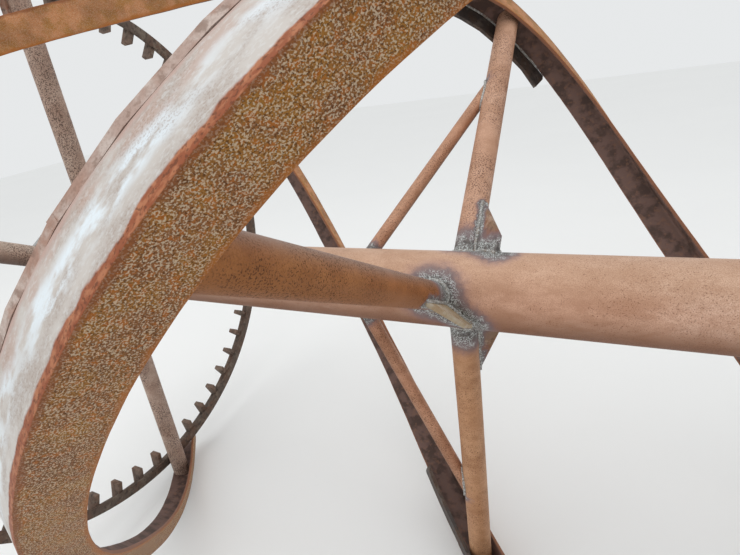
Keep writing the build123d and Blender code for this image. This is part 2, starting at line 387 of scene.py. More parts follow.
def spin_section(
    section: Sequence[tuple[float, float]], steps: int, merge: float
) -> bmesh.types.BMesh:
    """Spins a closed section a full round about the reel's axis.

    Args:
        section: Place along the reel and radius of each corner.
        steps: Steps of the round.
        merge: Distance under which doubles are merged.

    Returns:
        The ring's bmesh, with its faces outwards.
    """
    maker = bmesh.new()
    verts = [maker.verts.new((x, 0.0, radius)) for x, radius in section]
    count = len(verts)
    edges = [maker.edges.new((verts[i], verts[(i + 1) % count])) for i in range(count)]
    bmesh.ops.spin(
        maker,
        geom=verts + edges,
        cent=ORIGIN,
        axis=ALONG,
        angle=2 * pi,
        steps=steps,
        use_merge=True,
        use_duplicate=False,
    )
    bmesh.ops.remove_doubles(maker, verts=maker.verts, dist=merge)
    bmesh.ops.recalc_face_normals(maker, faces=maker.faces)
    return maker


def wear_edges(
    maker: bmesh.types.BMesh, edges: list[bmesh.types.BMEdge], width: float, segments: int
) -> list[bmesh.types.BMFace]:
    """Rounds edges, as wear does.

    Args:
        maker: Bmesh that holds them.
        edges: The edges.
        width: How far each round reaches from its edge.
        segments: Faces across a round.

    Returns:
        The faces of the rounds and beside them.
    """
    worn = bmesh.ops.bevel(
        maker,
        geom=edges,
        offset=width,
        segments=segments,
        profile=0.5,
        affect="EDGES",
        material=-1,
    )
    return worn["faces"]


def path_frames(path: Sequence[Vector], closed: bool) -> tuple[list[Matrix], list[float]]:
    """Frames that follow a path without twisting.

    Args:
        path: Points of the path.
        closed: Whether its last point leads back to the first.

    Returns:
        A frame with Z along the path at each point, and the distance along the path there.
    """
    count = len(path)
    frames, runs = [], []
    side, run = None, 0.0
    for index, point in enumerate(path):
        ahead = path[(index + 1) % count] if closed else path[min(index + 1, count - 1)]
        behind = path[index - 1] if closed or index else path[0]
        way = (ahead - behind).normalized()
        if side is None:
            side = way.orthogonal().normalized()
        side = (side - way * side.dot(way)).normalized()
        frame = Matrix((side, way.cross(side), way)).transposed().to_4x4()
        frame.translation = point
        frames.append(frame)
        runs.append(run)
        run += (ahead - point).length
    return frames, runs


def resample(path: Sequence[Vector], step: float, closed: bool = False) -> list[Vector]:
    """Points at an even step along a path.

    Args:
        path: Corners of the path.
        step: Distance from one point to the next.
        closed: Whether the last corner leads back to the first.

    Returns:
        The points, the first at the first corner.
    """
    corners = list(path) + ([path[0]] if closed else [])
    points = [corners[0].copy()]
    carry = 0.0
    for start, end in zip(corners, corners[1:]):
        length = (end - start).length
        at = step - carry
        while at <= length:
            points.append(start.lerp(end, at / length))
            at += step
        carry = length - (at - step)
    if closed and (points[-1] - points[0]).length < step / 2:
        points.pop()
    return points


@dataclass
class WeldBead:
    """A run of weld metal along a path, with the ripples that each pass leaves.

    It wanders off its path and swells with noise, whose waves are counted per metre. Its own name
    sets where in the noise it starts, so that no two beads are alike.
    """

    name: str
    path: Sequence[Vector]
    radius: float
    closed: bool = False
    ripple_mm: float = 5.0
    step: float = 0.0024
    sides: int = 8
    wander: float = 0.0009
    wander_waves: float = 60.0
    leanest: float = 0.86
    ripple_swell: float = 0.2
    slow_swell: float = 0.22
    slow_waves: float = 45.0
    seed_step: float = 0.37

    def build(self) -> bpy.types.Object:
        """Sweeps the bead along its path.

        Returns:
            The bead as an object.
        """
        seed = ALONG * (sum(map(ord, self.name)) * self.seed_step)
        path = []
        for point in resample(self.path, self.step, self.closed):
            path.append(point + noise.noise_vector(point * self.wander_waves + seed) * self.wander)
        frames, runs = path_frames(path, self.closed)
        swollen = []
        for frame, run in zip(frames, runs):
            ripple = 0.5 + 0.5 * cos(2 * pi * run / (self.ripple_mm * MM))
            slow = noise.noise(frame.translation * self.slow_waves + seed)
            size = self.leanest + self.ripple_swell * ripple + self.slow_swell * slow
            swollen.append(frame @ Matrix.Diagonal((size, size, 1.0, 1.0)))
        ring = [2 * pi * side / self.sides for side in range(self.sides)]
        outline = [(self.radius * cos(turn), self.radius * sin(turn)) for turn in ring]
        girths = [self.radius * turn for turn in ring] + [self.radius * 2 * pi]
        return make_object(self.name, sweep(outline, girths, swollen, runs, self.closed))


def join(name: str, pieces: Sequence[bpy.types.Object]) -> bpy.types.Object:
    """Joins pieces into one.

    Args:
        name: Name of the whole.
        pieces: The pieces, which are removed.

    Returns:
        The whole as one object.
    """
    maker = bmesh.new()
    for piece in pieces:
        maker.from_mesh(piece.data)
        mesh = piece.data
        bpy.data.objects.remove(piece)
        bpy.data.meshes.remove(mesh)
    return make_object(name, maker, smooth=False)


# Finishes


def linear(code: str) -> tuple[float, float, float, float]:
    """Turns an sRGB colour to linear.

    Args:
        code: The colour as a hex value.

    Returns:
        Linear red, green and blue, and an opaque alpha.
    """
    levels = [int(code[index : index + 2], 16) / 255 for index in (1, 3, 5)]
    red, green, blue = (
        level / 12.92 if level <= 0.04045 else ((level + 0.055) / 1.055) ** 2.4 for level in levels
    )
    return red, green, blue, 1.0


def add_node(
    tree: bpy.types.NodeTree,
    kind: str,
    settings: dict[str, Value] | None = None,
    inputs: dict[str | int, Value] | None = None,
) -> bpy.types.Node:
    """Adds a node.

    Args:
        tree: Node tree that takes it.
        kind: Blender's name of the node type.
        settings: Properties to set.
        inputs: Values or sockets for its inputs, by name or number.

    Returns:
        The new node.
    """
    node = tree.nodes.new(kind)
    for name, value in (settings or {}).items():
        setattr(node, name, value)
    for name, value in (inputs or {}).items():
        if isinstance(value, bpy.types.NodeSocket):
            tree.links.new(value, node.inputs[name])
        else:
            node.inputs[name].default_value = value
    return node


@dataclass(frozen=True)
class Seam:
    """A weld's heat: a line from start to end, with the radius of its dark core and its fringe."""

    start: Vector
    end: Vector
    core: float
    fringe: float


class Coat:
    """One material that is built up in layers, as rust, wear and dust lie on steel.

    The way of the seeds keeps the patterns apart, and the span is how far noise strays from one
    half. The heat round welds has a ragged edge with its own grain and wander, and its core fades
    from a little inside its radius to a little outside.
    """

    seed_way: tuple[float, float, float] = (7.13, 3.71, 5.37)
    noise_span: float = 0.36
    heat_grain: float = 0.020
    heat_wander: float = 0.034
    core_edge: tuple[float, float] = (-0.006, 0.008)

    def __init__(
        self, name: str, base: str, roughness: float, metallic: float = 0.0, gloss: float = 0.5
    ) -> None:
        """Starts a coat.

        Args:
            name: Name of the material.
            base: Colour of the bare coat, as an sRGB hex value.
            roughness: Roughness of the bare coat.
            metallic: How metallic the whole coat is.
            gloss: Strength of its sheen, 0.5 for clean paint and less for rust.
        """
        self.material = bpy.data.materials.new(name)
        self.material.use_nodes = True
        self.tree = self.material.node_tree
        self.tree.nodes.clear()
        texture = add_node(self.tree, "ShaderNodeTexCoord")
        self.place = texture.outputs["Object"]
        facing = add_node(self.tree, "ShaderNodeSeparateXYZ", inputs={0: texture.outputs["Normal"]})
        self.upward = facing.outputs[2]
        self.colour: Value = linear(base)
        self.roughness: Value = roughness
        self.metallic = metallic
        self.gloss = gloss
        self.height: Value = 0.0

    def blotches(
        self,
        size_mm: float,
        share: float,
        soft: float = 0.08,
        stretch: tuple[float, float, float] = (1.0, 1.0, 1.0),
        detail: float = 3.0,
        seed: float = 0.0,
        place: bpy.types.NodeSocket | None = None,
    ) -> bpy.types.NodeSocket:
        """Mask of scattered blotches.

        Args:
            size_mm: Size of a blotch.
            share: Rough share of the surface that they cover.
            soft: Width of their soft edge.
            stretch: How much finer they are along each axis.
            detail: Octaves of smaller shapes.
            seed: Offset that tells one pattern from another.
            place: Coordinates to read, or the object's own.

        Returns:
            Socket from 0 to 1.
        """
        mapping = add_node(
            self.tree,
            "ShaderNodeMapping",
            inputs={
                "Vector": place or self.place,
                "Location": tuple(seed * part for part in self.seed_way),
                "Scale": tuple(1.0 / (size_mm * MM) * part for part in stretch),
            },
        )
        pattern = add_node(
            self.tree,
            "ShaderNodeTexNoise",
            inputs={"Vector": mapping.outputs[0], "Scale": 1.0, "Detail": detail, "Roughness": 0.55},
        )
        middle = 0.5 + self.noise_span * (0.5 - share)
        return self.zone(pattern.outputs["Fac"], rise=(middle - soft, middle + soft))

    def zone(
        self,
        value: Value,
        rise: tuple[float, float] | None = None,
        fall: tuple[float, float] | None = None,
    ) -> Value:
        """Mask of one stretch of a value.

        Args:
            value: Number that varies over the surface.
            rise: Where the mask starts and where it is full, if it has a start.
            fall: Where it begins to fade and where it is gone, if it has an end.

        Returns:
            Socket from 0 to 1.
        """
        sides = [(edge, ends) for edge, ends in ((rise, (0.0, 1.0)), (fall, (1.0, 0.0))) if edge]
        parts = []
        for (low, high), (start, end) in sides:
            part = add_node(
                self.tree,
                "ShaderNodeMapRange",
                {"interpolation_type": "SMOOTHSTEP", "clamp": True},
                {"Value": value, "From Min": low, "From Max": high, "To Min": start, "To Max": end},
            )
            parts.append(part.outputs["Result"])
        return self.overlap(*parts)

    def overlap(self, *masks: Value) -> Value:
        """Mask that is on only where all the given masks are on.

        Args:
            *masks: Masks from 0 to 1, or plain strengths.

        Returns:
            Their product.
        """
        whole, *others = masks
        for mask in others:
            product = add_node(
                self.tree, "ShaderNodeMath", {"operation": "MULTIPLY"}, {0: whole, 1: mask}
            )
            whole = product.outputs[0]
        return whole

    def union(self, *masks: Value) -> Value:
        """Mask that is on where any of the given masks is on.

        Args:
            *masks: Masks from 0 to 1.

        Returns:
            The highest of them at each place.
        """
        whole, *others = masks
        for mask in others:
            widest = add_node(
                self.tree, "ShaderNodeMath", {"operation": "MAXIMUM"}, {0: whole, 1: mask}
            )
            whole = widest.outputs[0]
        return whole

    def ragged(self, value: Value, wander: Value, amount: float) -> bpy.types.NodeSocket:
        """Moves a value to and fro, so that the edges it draws wander.

        Args:
            value: Number that varies over the surface.
            wander: Pattern from 0 to 1 that moves it.
            amount: How far it moves from the pattern's lowest to its highest.

        Returns:
            Socket of the moved value.
        """
        centred = add_node(
            self.tree, "ShaderNodeMath", {"operation": "SUBTRACT"}, {0: wander, 1: 0.5}
        )
        moved = add_node(
            self.tree,
            "ShaderNodeMath",
            {"operation": "MULTIPLY_ADD"},
            {0: centred.outputs[0], 1: amount, 2: value},
        )
        return moved.outputs[0]

    def cover(
        self, mask: Value, colour: str, strength: float = 1.0, roughness: float | None = None
    ) -> None:
        """Lays a colour, and a roughness, over the coat where a mask is on.

        Args:
            mask: Where it lies, from 0 to 1.
            colour: The colour as an sRGB hex value.
            strength: How well it hides what is under it.
            roughness: Its own roughness, or none to keep the coat's.
        """
        hiding = self.overlap(mask, strength)
        mix = add_node(
            self.tree,
            "ShaderNodeMix",
            {"data_type": "RGBA"},
            {0: hiding, 6: self.colour, 7: linear(colour)},
        )
        self.colour = mix.outputs[2]
        if roughness is not None:
            blend = add_node(
                self.tree, "ShaderNodeMix", inputs={0: hiding, 2: self.roughness, 3: roughness}
            )
            self.roughness = blend.outputs[0]

    def raise_by(self, mask: Value, height_mm: float) -> None:
        """Raises the surface where a mask is on.

        Args:
            mask: Where it rises, from 0 to 1.
            height_mm: How far it rises, or sinks where this is below nought.
        """
        lift = add_node(
            self.tree,
            "ShaderNodeMath",
            {"operation": "MULTIPLY_ADD"},
            {0: mask, 1: height_mm, 2: self.height},
        )
        self.height = lift.outputs[0]

    def heat(self, seams: Sequence[Seam]) -> tuple[Value, Value]:
        """Masks of the dark cores and the fringes round welds, with ragged edges.

        Args:
            seams: The welds' heat.

        Returns:
            The cores' mask and the fringes' mask, which covers the cores too.
        """
        grain = 1 / self.heat_grain
        wander = add_node(
            self.tree,
            "ShaderNodeTexNoise",
            inputs={"Vector": self.place, "Scale": grain, "Detail": 5.0, "Roughness": 0.65},
        )
        inner, outer = self.core_edge
        cores, fringes = [], []
        for seam in seams:
            line = seam.end - seam.start
            offset = add_node(
                self.tree,
                "ShaderNodeVectorMath",
                {"operation": "SUBTRACT"},
                {0: self.place, 1: seam.start},
            )
            along = add_node(
                self.tree,
                "ShaderNodeVectorMath",
                {"operation": "DOT_PRODUCT"},
                {0: offset.outputs[0], 1: line / max(line.length_squared, 1e-9)},
            )
            share = add_node(self.tree, "ShaderNodeClamp", inputs={0: along.outputs["Value"]})
            foot = add_node(
                self.tree,
                "ShaderNodeVectorMath",
                {"operation": "SCALE"},
                {0: line, "Scale": share.outputs[0]},
            )
            gap = add_node(
                self.tree,
                "ShaderNodeVectorMath",
                {"operation": "DISTANCE"},
                {0: offset.outputs[0], 1: foot.outputs[0]},
            )
            rough = self.ragged(gap.outputs["Value"], wander.outputs["Fac"], self.heat_wander)
            cores.append(self.zone(rough, fall=(seam.core + inner, seam.core + outer)))
            fringes.append(self.zone(rough, fall=(seam.core, seam.fringe)))
        return self.union(*cores), self.union(*fringes)

    def scorch(self, seams: Sequence[Seam]) -> None:
        """Paints the purple-brown and blue-grey heat tint and the thin white scale of welding.

        Args:
            seams: The welds' heat.
        """
        core, fringe = self.heat(seams)
        self.cover(fringe, "#8a6c72", 0.80, 0.5)
        self.cover(self.zone(fringe, rise=(0.25, 0.95)), "#686062", 0.72, 0.55)
        self.cover(core, "#66625e", 0.84, 0.62)
        soot = self.blotches(7, 0.40, 0.08, detail=5, seed=3.0)
        self.cover(self.overlap(core, soot), "#423e3d", 0.6, 0.7)
        fields = self.blotches(15, 0.60, 0.12, seed=4.0)
        crackle = self.blotches(2.3, 0.42, 0.06, detail=5, seed=5.0)
        rim = self.zone(fringe, rise=(0.65, 0.95))
        scale = self.overlap(rim, fields, crackle)
        self.cover(scale, "#d2d7d4", 0.88, 0.85)
        self.raise_by(scale, 0.12)

    def lay(self) -> bpy.types.Material:
        """Joins the layers to a shader, with their heights read as millimetres.

        Returns:
            The finished material.
        """
        bump = add_node(
            self.tree,
            "ShaderNodeBump",
            inputs={"Strength": 1.0, "Distance": MM, "Height": self.height},
        )
        shader = add_node(
            self.tree,
            "ShaderNodeBsdfPrincipled",
            inputs={
                "Base Color": self.colour,
                "Roughness": self.roughness,
                "Metallic": self.metallic,
                "Specular IOR Level": self.gloss,
                "Normal": bump.outputs[0],
            },
        )
        out = add_node(self.tree, "ShaderNodeOutputMaterial", inputs={"Surface": shader.outputs[0]})
        out.is_active_output = True
        return self.material


@dataclass(frozen=True)
class RustedPipe:
    """Drawn steel pipe with a thin, even rust.

    Mill scale went to a smooth copper-brown film with a low sheen, pitted by fine dark specks.
    Upper sides are paler with dust and painted sky light; lower sides are darker as painted shade.
    """

    name: str
    base: str
    pale: str
    deep: str
    speck: str
    # top and top_share: colour and strength on upward faces, partly dust and partly painted sky light
    top: str
    top_share: float
    # under: colour of the downward faces, painted shade
    under: str
    specks: float
    speck_mm: float
    burnish: float = 0.0
    roughness: float = 0.44
    seams: tuple[Seam, ...] = ()

    def material(self) -> bpy.types.Material:
        """Builds the pipe's material.

        Returns:
            The finished material.
        """
        coat = Coat(self.name, self.base, self.roughness, 0.10, 0.32)
        coat.cover(coat.blotches(150, 0.5, 0.16, (0.5, 1, 1), 3, 1.0), self.pale, 0.6)
        coat.cover(coat.blotches(55, 0.42, 0.14, (0.5, 1, 1), 4, 2.0), self.deep, 0.55, 0.55)
        coat.cover(coat.blotches(15, 0.40, 0.12, (0.6, 1, 1), 4, 3.0), self.deep, 0.30, 0.5)
        # Upward faces: partly dust, partly painted sky light
        coat.cover(coat.zone(coat.upward, rise=(0.15, 0.95)), self.top, self.top_share, 0.5)
        # Downward faces: painted shade
        coat.cover(coat.zone(coat.upward, fall=(-0.75, 0.20)), self.under, 0.90, 0.62)
        if self.burnish:
            touched = coat.zone(coat.upward, rise=(-0.3, 0.5))
            worn = coat.overlap(coat.blotches(60, 0.5, 0.12, seed=7.0), touched)
            coat.cover(worn, "#d3c2b2", self.burnish, 0.3)
        grain = coat.blotches(1.8, 0.45, 0.10, detail=2, seed=4.0)
        coat.cover(grain, self.deep, 0.42, 0.55)
        fields = coat.blotches(80, 0.70, 0.14, seed=8.0)
        specks = coat.blotches(self.speck_mm, self.specks, 0.035, detail=4, seed=6.0)
        pits = coat.overlap(specks, fields)
        coat.cover(pits, self.speck, 0.8, 0.8)
        coat.raise_by(pits, -0.30)
        coat.raise_by(grain, 0.05)
        if self.seams:
            coat.scorch(self.seams)
        return coat.lay()


@dataclass(frozen=True)
class RolledAngle:
    """Hot-rolled angle, rolled into a helix.

    The outer leg's face is polished by the feed to pale steel with a broken bright streak along it,
    partly polish and partly a painted sky highlight.
    The web keeps a fine worm-like rust of ochre, brown and grey flecks. The corner is bare
    pink-brown rust, and the inside is painted nearly black as shade. The patterns follow the bar,
    on its own UV map of run and girth in metres: the web's girths are above nought and the leg's
    below.
    """

    name: str
    mottle: float = 1.0
    worn: float = 1.0
    web: str = "#84552d"

    def material(self) -> bpy.types.Material:
        """Builds the bar's material.

        Returns:
            The finished material.
        """
        coat = Coat(self.name, "#705850", 0.7, 0.05, 0.3)
        uv = add_node(coat.tree, "ShaderNodeUVMap", {"uv_map": "Strip"}).outputs[0]
        girth = add_node(coat.tree, "ShaderNodeSeparateXYZ", inputs={0: uv}).outputs[1]
        wander = coat.blotches(45, 0.5, 0.25, detail=5, seed=1.0, place=uv)
        edge = coat.ragged(girth, wander, 0.007)
        self._paint_inside(coat, girth)
        self._paint_web(coat, edge, girth, uv)
        self._paint_leg(coat, edge, girth, uv)
        return coat.lay()

    def _paint_inside(self, coat: Coat, girth: Value) -> None:
        """Paints the inner faces, darkened as painted shade, and the toes.

        Args:
            coat: The bar's coat.
            girth: Girth from the outer corner.
        """
        # Near-black blotches over the inner faces: painted shade (the outer faces are painted over
        # later)
        coat.cover(coat.blotches(40, 0.45, 0.1, seed=2.0), "#463731", 0.8)
        coat.cover(coat.blotches(12, 0.22, 0.06, detail=5, seed=3.0), "#84604c", 0.5)
        web_toe = coat.zone(
            girth, (SIZE.web - 0.003, SIZE.web), (SIZE.web + 0.006, SIZE.web + 0.010)
        )
        leg_toe = coat.zone(
            girth, (-SIZE.leg - 0.010, -SIZE.leg - 0.006), (-SIZE.leg - 0.001, -SIZE.leg + 0.002)
        )
        coat.cover(coat.union(web_toe, leg_toe), "#8b5c42", 0.85, 0.6)

    def _paint_web(self, coat: Coat, edge: Value, girth: Value, uv: Value) -> None:
        """Paints the web's outer face.

        Args:
            coat: The bar's coat.
            edge: The girth, made ragged.
            girth: Girth from the outer corner.
            uv: Run and girth, for the patterns.
        """
        web = coat.zone(girth, (-0.0005, 0.0005), (SIZE.web - 0.0005, SIZE.web + 0.0005))
        coat.cover(web, self.web, 1.0, 0.66)
        ochre = coat.blotches(24, 0.46, 0.12, detail=4, seed=4.0, place=uv)
        coat.cover(coat.overlap(web, ochre), "#98681f", 0.7)
        shade = coat.blotches(60, 0.4, 0.14, detail=3, seed=14.0, place=uv)
        coat.cover(coat.overlap(web, shade), "#6d4427", 0.5)
        pits = coat.overlap(coat.blotches(1.8, 0.34, 0.05, detail=2, seed=5.0, place=uv), web)
        coat.cover(pits, "#482a13", 0.70 * self.mottle, 0.85)
        rusty = coat.overlap(web, coat.blotches(5, 0.26, 0.05, detail=3, seed=7.0, place=uv))
        coat.cover(rusty, "#a65d16", 0.62 * self.mottle)
        flecks = coat.overlap(coat.blotches(1.6, 0.36, 0.06, detail=2, seed=6.0, place=uv), web)
        coat.cover(flecks, "#cdbaa0", 0.68 * self.mottle, 0.75)
        coat.raise_by(flecks, 0.10 * self.mottle)
        coat.raise_by(pits, -0.08 * self.mottle)
        # Orange towards the web's toe: partly rust on the edge, partly a painted highlight
        inner = coat.zone(edge, rise=(SIZE.web - 0.008, SIZE.web - 0.001))
        coat.cover(coat.overlap(web, inner), "#a5601f", 0.7, 0.6)
        band = coat.zone(edge, fall=(0.0015, 0.0075))
        coat.cover(coat.overlap(web, band), "#7f4726", 0.72, 0.62)

    def _paint_leg(self, coat: Coat, edge: Value, girth: Value, uv: Value) -> None:
        """Paints the outer leg's polished face and its pink-brown edges.

        Args:
            coat: The bar's coat.
            edge: The girth, made ragged.
            girth: Girth from the outer corner.
            uv: Run and girth, for the patterns.
        """
        leg = coat.zone(girth, (-SIZE.leg - 0.001, -SIZE.leg + 0.0005), (-0.0005, 0.0005))
        coat.cover(leg, "#8f4c2a", 1.0, 0.6)
        bright = coat.blotches(7, 0.42, 0.08, (0.6, 1, 1), 6, 8.0, uv)
        coat.cover(coat.overlap(leg, bright), "#b4754f", 0.7, 0.55)
        pits = coat.blotches(3.4, 0.30, 0.06, detail=4, seed=16.0, place=uv)
        coat.cover(coat.overlap(leg, pits), "#5a301a", 0.65, 0.7)
        free = coat.zone(girth, fall=(-SIZE.leg + 0.004, -SIZE.leg + 0.010))
        coat.cover(coat.overlap(leg, free), "#b79d92", 0.9, 0.45)
        between = coat.zone(edge, (-SIZE.leg + 0.001, -SIZE.leg + 0.010), (-0.0112, -0.0078))
        polished = coat.overlap(leg, between)
        coat.cover(polished, "#bfb8b1", self.worn, 0.42)
        clouds = coat.blotches(30, 0.45, 0.10, (0.6, 1, 1), 6, 9.0, uv)
        coat.cover(coat.overlap(clouds, polished), "#a89c93", 0.75 * self.worn, 0.46)
        flank = coat.zone(edge, (-SIZE.leg + 0.002, -SIZE.leg + 0.010), (-0.058, -0.044))
        tan = coat.blotches(20, 0.55, 0.10, (0.6, 1, 1), 6, 13.0, uv)
        coat.cover(coat.overlap(polished, flank, tan), "#b49a8d", 0.7 * self.worn, 0.5)
        # Blue-white streak along the middle of the leg: partly polish, partly a painted sky highlight
        middle = coat.zone(edge, (-0.062, -0.048), (-0.036, -0.022))
        fields = coat.blotches(110, 0.80, 0.12, (0.6, 1, 1), 3, 12.0, uv)
        streak = coat.blotches(17, 0.62, 0.08, (0.5, 1, 1), 7, 10.0, uv)
        coat.cover(coat.overlap(streak, middle, polished, fields), "#dce6ec", 0.9 * self.worn, 0.32)
        grain = coat.blotches(1.9, 0.34, 0.06, detail=2, seed=11.0, place=uv)
        coat.cover(coat.overlap(grain, polished, clouds), "#917665", 0.42 * self.worn, 0.55)
        chalk = coat.blotches(2.6, 0.30, 0.06, (0.6, 1, 1), 4, 15.0, uv)
        coat.cover(coat.overlap(chalk, polished), "#cfd0cf", 0.34 * self.worn, 0.4)
        coat.raise_by(coat.overlap(clouds, leg), 0.10)


@dataclass(frozen=True)
class RustedPlate:
    """Flame-cut mild steel plate with brown rust over grey scale."""

    name: str
    base: str
    rust: str
    dark: str
    pale: str
    pale_share: float
    roughness: float = 0.6
    seams: tuple[Seam, ...] = ()

    def material(self) -> bpy.types.Material:
        """Builds the plate's material.

        Returns:
            The finished material.
        """
        coat = Coat(self.name, self.base, self.roughness, 0.1, 0.35)
        coat.cover(coat.blotches(50, 0.45, 0.1, seed=1.0), self.rust, 0.75, 0.7)
        coat.cover(coat.blotches(26, self.pale_share, 0.09, detail=5, seed=2.0), self.pale, 0.7, 0.5)
        coat.cover(coat.blotches(12, 0.2, 0.05, detail=5, seed=3.0), self.dark, 0.6, 0.75)
        grain = coat.blotches(2.2, 0.4, 0.1, detail=3, seed=4.0)
        coat.cover(grain, self.dark, 0.25)
        coat.raise_by(grain, 0.08)
        if self.seams:
            coat.scorch(self.seams)
        return coat.lay()


@dataclass(frozen=True)
class WeldMetal:
    """Mild steel weld metal, silver-grey with dark scale and a first brown bloom of rust."""

    name: str

    def material(self) -> bpy.types.Material:
        """Builds the bead's material.

        Returns:
            The finished material.
        """
        coat = Coat(self.name, "#918f8a", 0.5, 0.2)
        coat.cover(coat.blotches(14, 0.35, 0.08, detail=4, seed=1.0), "#8a6f5b", 0.6, 0.7)
        coat.cover(coat.blotches(4, 0.42, 0.06, detail=4, seed=2.0), "#cfd2cf", 0.8, 0.7)
        coat.cover(coat.blotches(4, 0.18, 0.04, detail=4, seed=3.0), "#4d4642", 0.7, 0.7)
        coat.raise_by(coat.blotches(2.5, 0.5, 0.15, seed=4.0), 0.2)
        return coat.lay()


@dataclass(frozen=True)
class HoopSteel:
    """Rolled angle, dark grey-brown from dried feed dust and painted shade, with pale worn edges and
    pink-brown rust.
    """

    name: str

    def material(self) -> bpy.types.Material:
        """Builds the hoop's material.

        Returns:
            The finished material.
        """
        # Dark base: partly dried feed dust, partly painted shade
        coat = Coat(self.name, "#5e5148", 0.78, 0.04, 0.3)
        coat.cover(coat.blotches(90, 0.45, 0.12, seed=1.0), "#6b4a38", 0.6)
        coat.cover(coat.blotches(26, 0.32, 0.08, detail=5, seed=2.0), "#7f7365", 0.6)
        coat.cover(coat.blotches(14, 0.30, 0.06, detail=5, seed=3.0), "#3c322d", 0.7)
        worn = add_node(coat.tree, "ShaderNodeNewGeometry").outputs["Pointiness"]
        outward = coat.zone(worn, rise=(0.53, 0.62))
        edge = coat.overlap(outward, coat.blotches(20, 0.6, 0.1, seed=4.0))
        coat.cover(edge, "#a58a78", 0.65, 0.55)
        grain = coat.blotches(2.6, 0.45, 0.12, detail=3, seed=5.0)
        coat.cover(grain, "#4d4038", 0.35)
        coat.raise_by(grain, 0.18)
        return coat.lay()


@dataclass(frozen=True)
class CastIron:
    """Grey iron sand casting with worn dark paint, dull and faintly grained."""

    name: str

    def material(self) -> bpy.types.Material:
        """Builds the casting's material.

        Returns:
            The finished material.
        """
        coat = Coat(self.name, "#4a4d50", 0.6, 0.15)
        coat.cover(coat.blotches(60, 0.4, 0.1, detail=4, seed=1.0), "#5d5a55", 0.7)
        coat.cover(coat.blotches(18, 0.24, 0.05, detail=6, seed=2.0), "#7a5238", 0.85, 0.8)
        coat.cover(coat.blotches(30, 0.2, 0.1, detail=4, seed=3.0), "#8c857b", 0.5, 0.85)
        coat.raise_by(coat.blotches(1.8, 0.5, 0.15, detail=2, seed=4.0), 0.22)
        return coat.lay()


@dataclass(frozen=True)
class TurnedSteel:
    """Turned carbon steel with fine rings from the lathe, under thin oil with brown stains."""

    name: str

    def material(self) -> bpy.types.Material:
        """Builds the shaft's material.

        Returns:
            The finished material.
        """
        coat = Coat(self.name, "#a3a09b", 0.32, 0.9)
        rings = coat.blotches(1.6, 0.5, 0.2, (1, 0.02, 0.02), 2, 1.0)
        coat.cover(rings, "#8d8983", 0.6, 0.42)
        coat.cover(coat.blotches(25, 0.3, 0.07, detail=5, seed=2.0), "#7b5a45", 0.7, 0.6)
        coat.raise_by(rings, 0.03)
        return coat.lay()


@dataclass(frozen=True)
class Rubber:
    """Black nitrile rubber of a bearing's seal, moulded and matt with dust."""

    name: str

    def material(self) -> bpy.types.Material:
        """Builds the seal's material.

        Returns:
            The finished material.
        """
        coat = Coat(self.name, "#232323", 0.7)
        coat.cover(coat.blotches(12, 0.35, 0.1, seed=1.0), "#4b4640", 0.5, 0.85)
        coat.raise_by(coat.blotches(1.5, 0.5, 0.2, seed=2.0), 0.05)
        return coat.lay()


def dress(piece: bpy.types.Object, material: bpy.types.Material) -> None:
    """Gives a piece one material on all its faces, and reports the piece.

    Args:
        piece: A node's solid or a piece of the scene.
        material: The material.
    """
    slots = piece.data.materials
    if not len(slots):
        slots.append(material)
    for index in range(len(slots)):
        slots[index] = material
    LOG.info("%s: %s, %d faces", piece.name, material.name, len(piece.data.polygons))


def ride(piece: bpy.types.Object, body: str = "reel") -> bpy.types.Object:
    """Makes a piece move with a body.

    Args:
        piece: The piece.
        body: The body that carries it.

    Returns:
        The same piece.
    """
    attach(piece, body)
    return piece


# Sub-assemblies


def arc(
    x: float, y: float, radius: float, start: float, end: float, parts: int
) -> list[tuple[float, float]]:
    """Points on an arc round a centre, from one angle in degrees to another."""
    turns = [radians(start + (end - start) * part / parts) for part in range(parts + 1)]
    return [(x + radius * cos(turn), y + radius * sin(turn)) for turn in turns]


def flat(
    start: tuple[float, float], end: tuple[float, float], parts: int
) -> list[tuple[float, float]]:
    """Points inside a straight stretch, without its ends.

    Args:
        start: Where it starts.
        end: Where it ends.
        parts: Parts that the points cut it into.

    Returns:
        The points.
    """
    (x, y), (to_x, to_y) = start, end
    shares = [part / parts for part in range(1, parts)]
    return [(x + (to_x - x) * share, y + (to_y - y) * share) for share in shares]


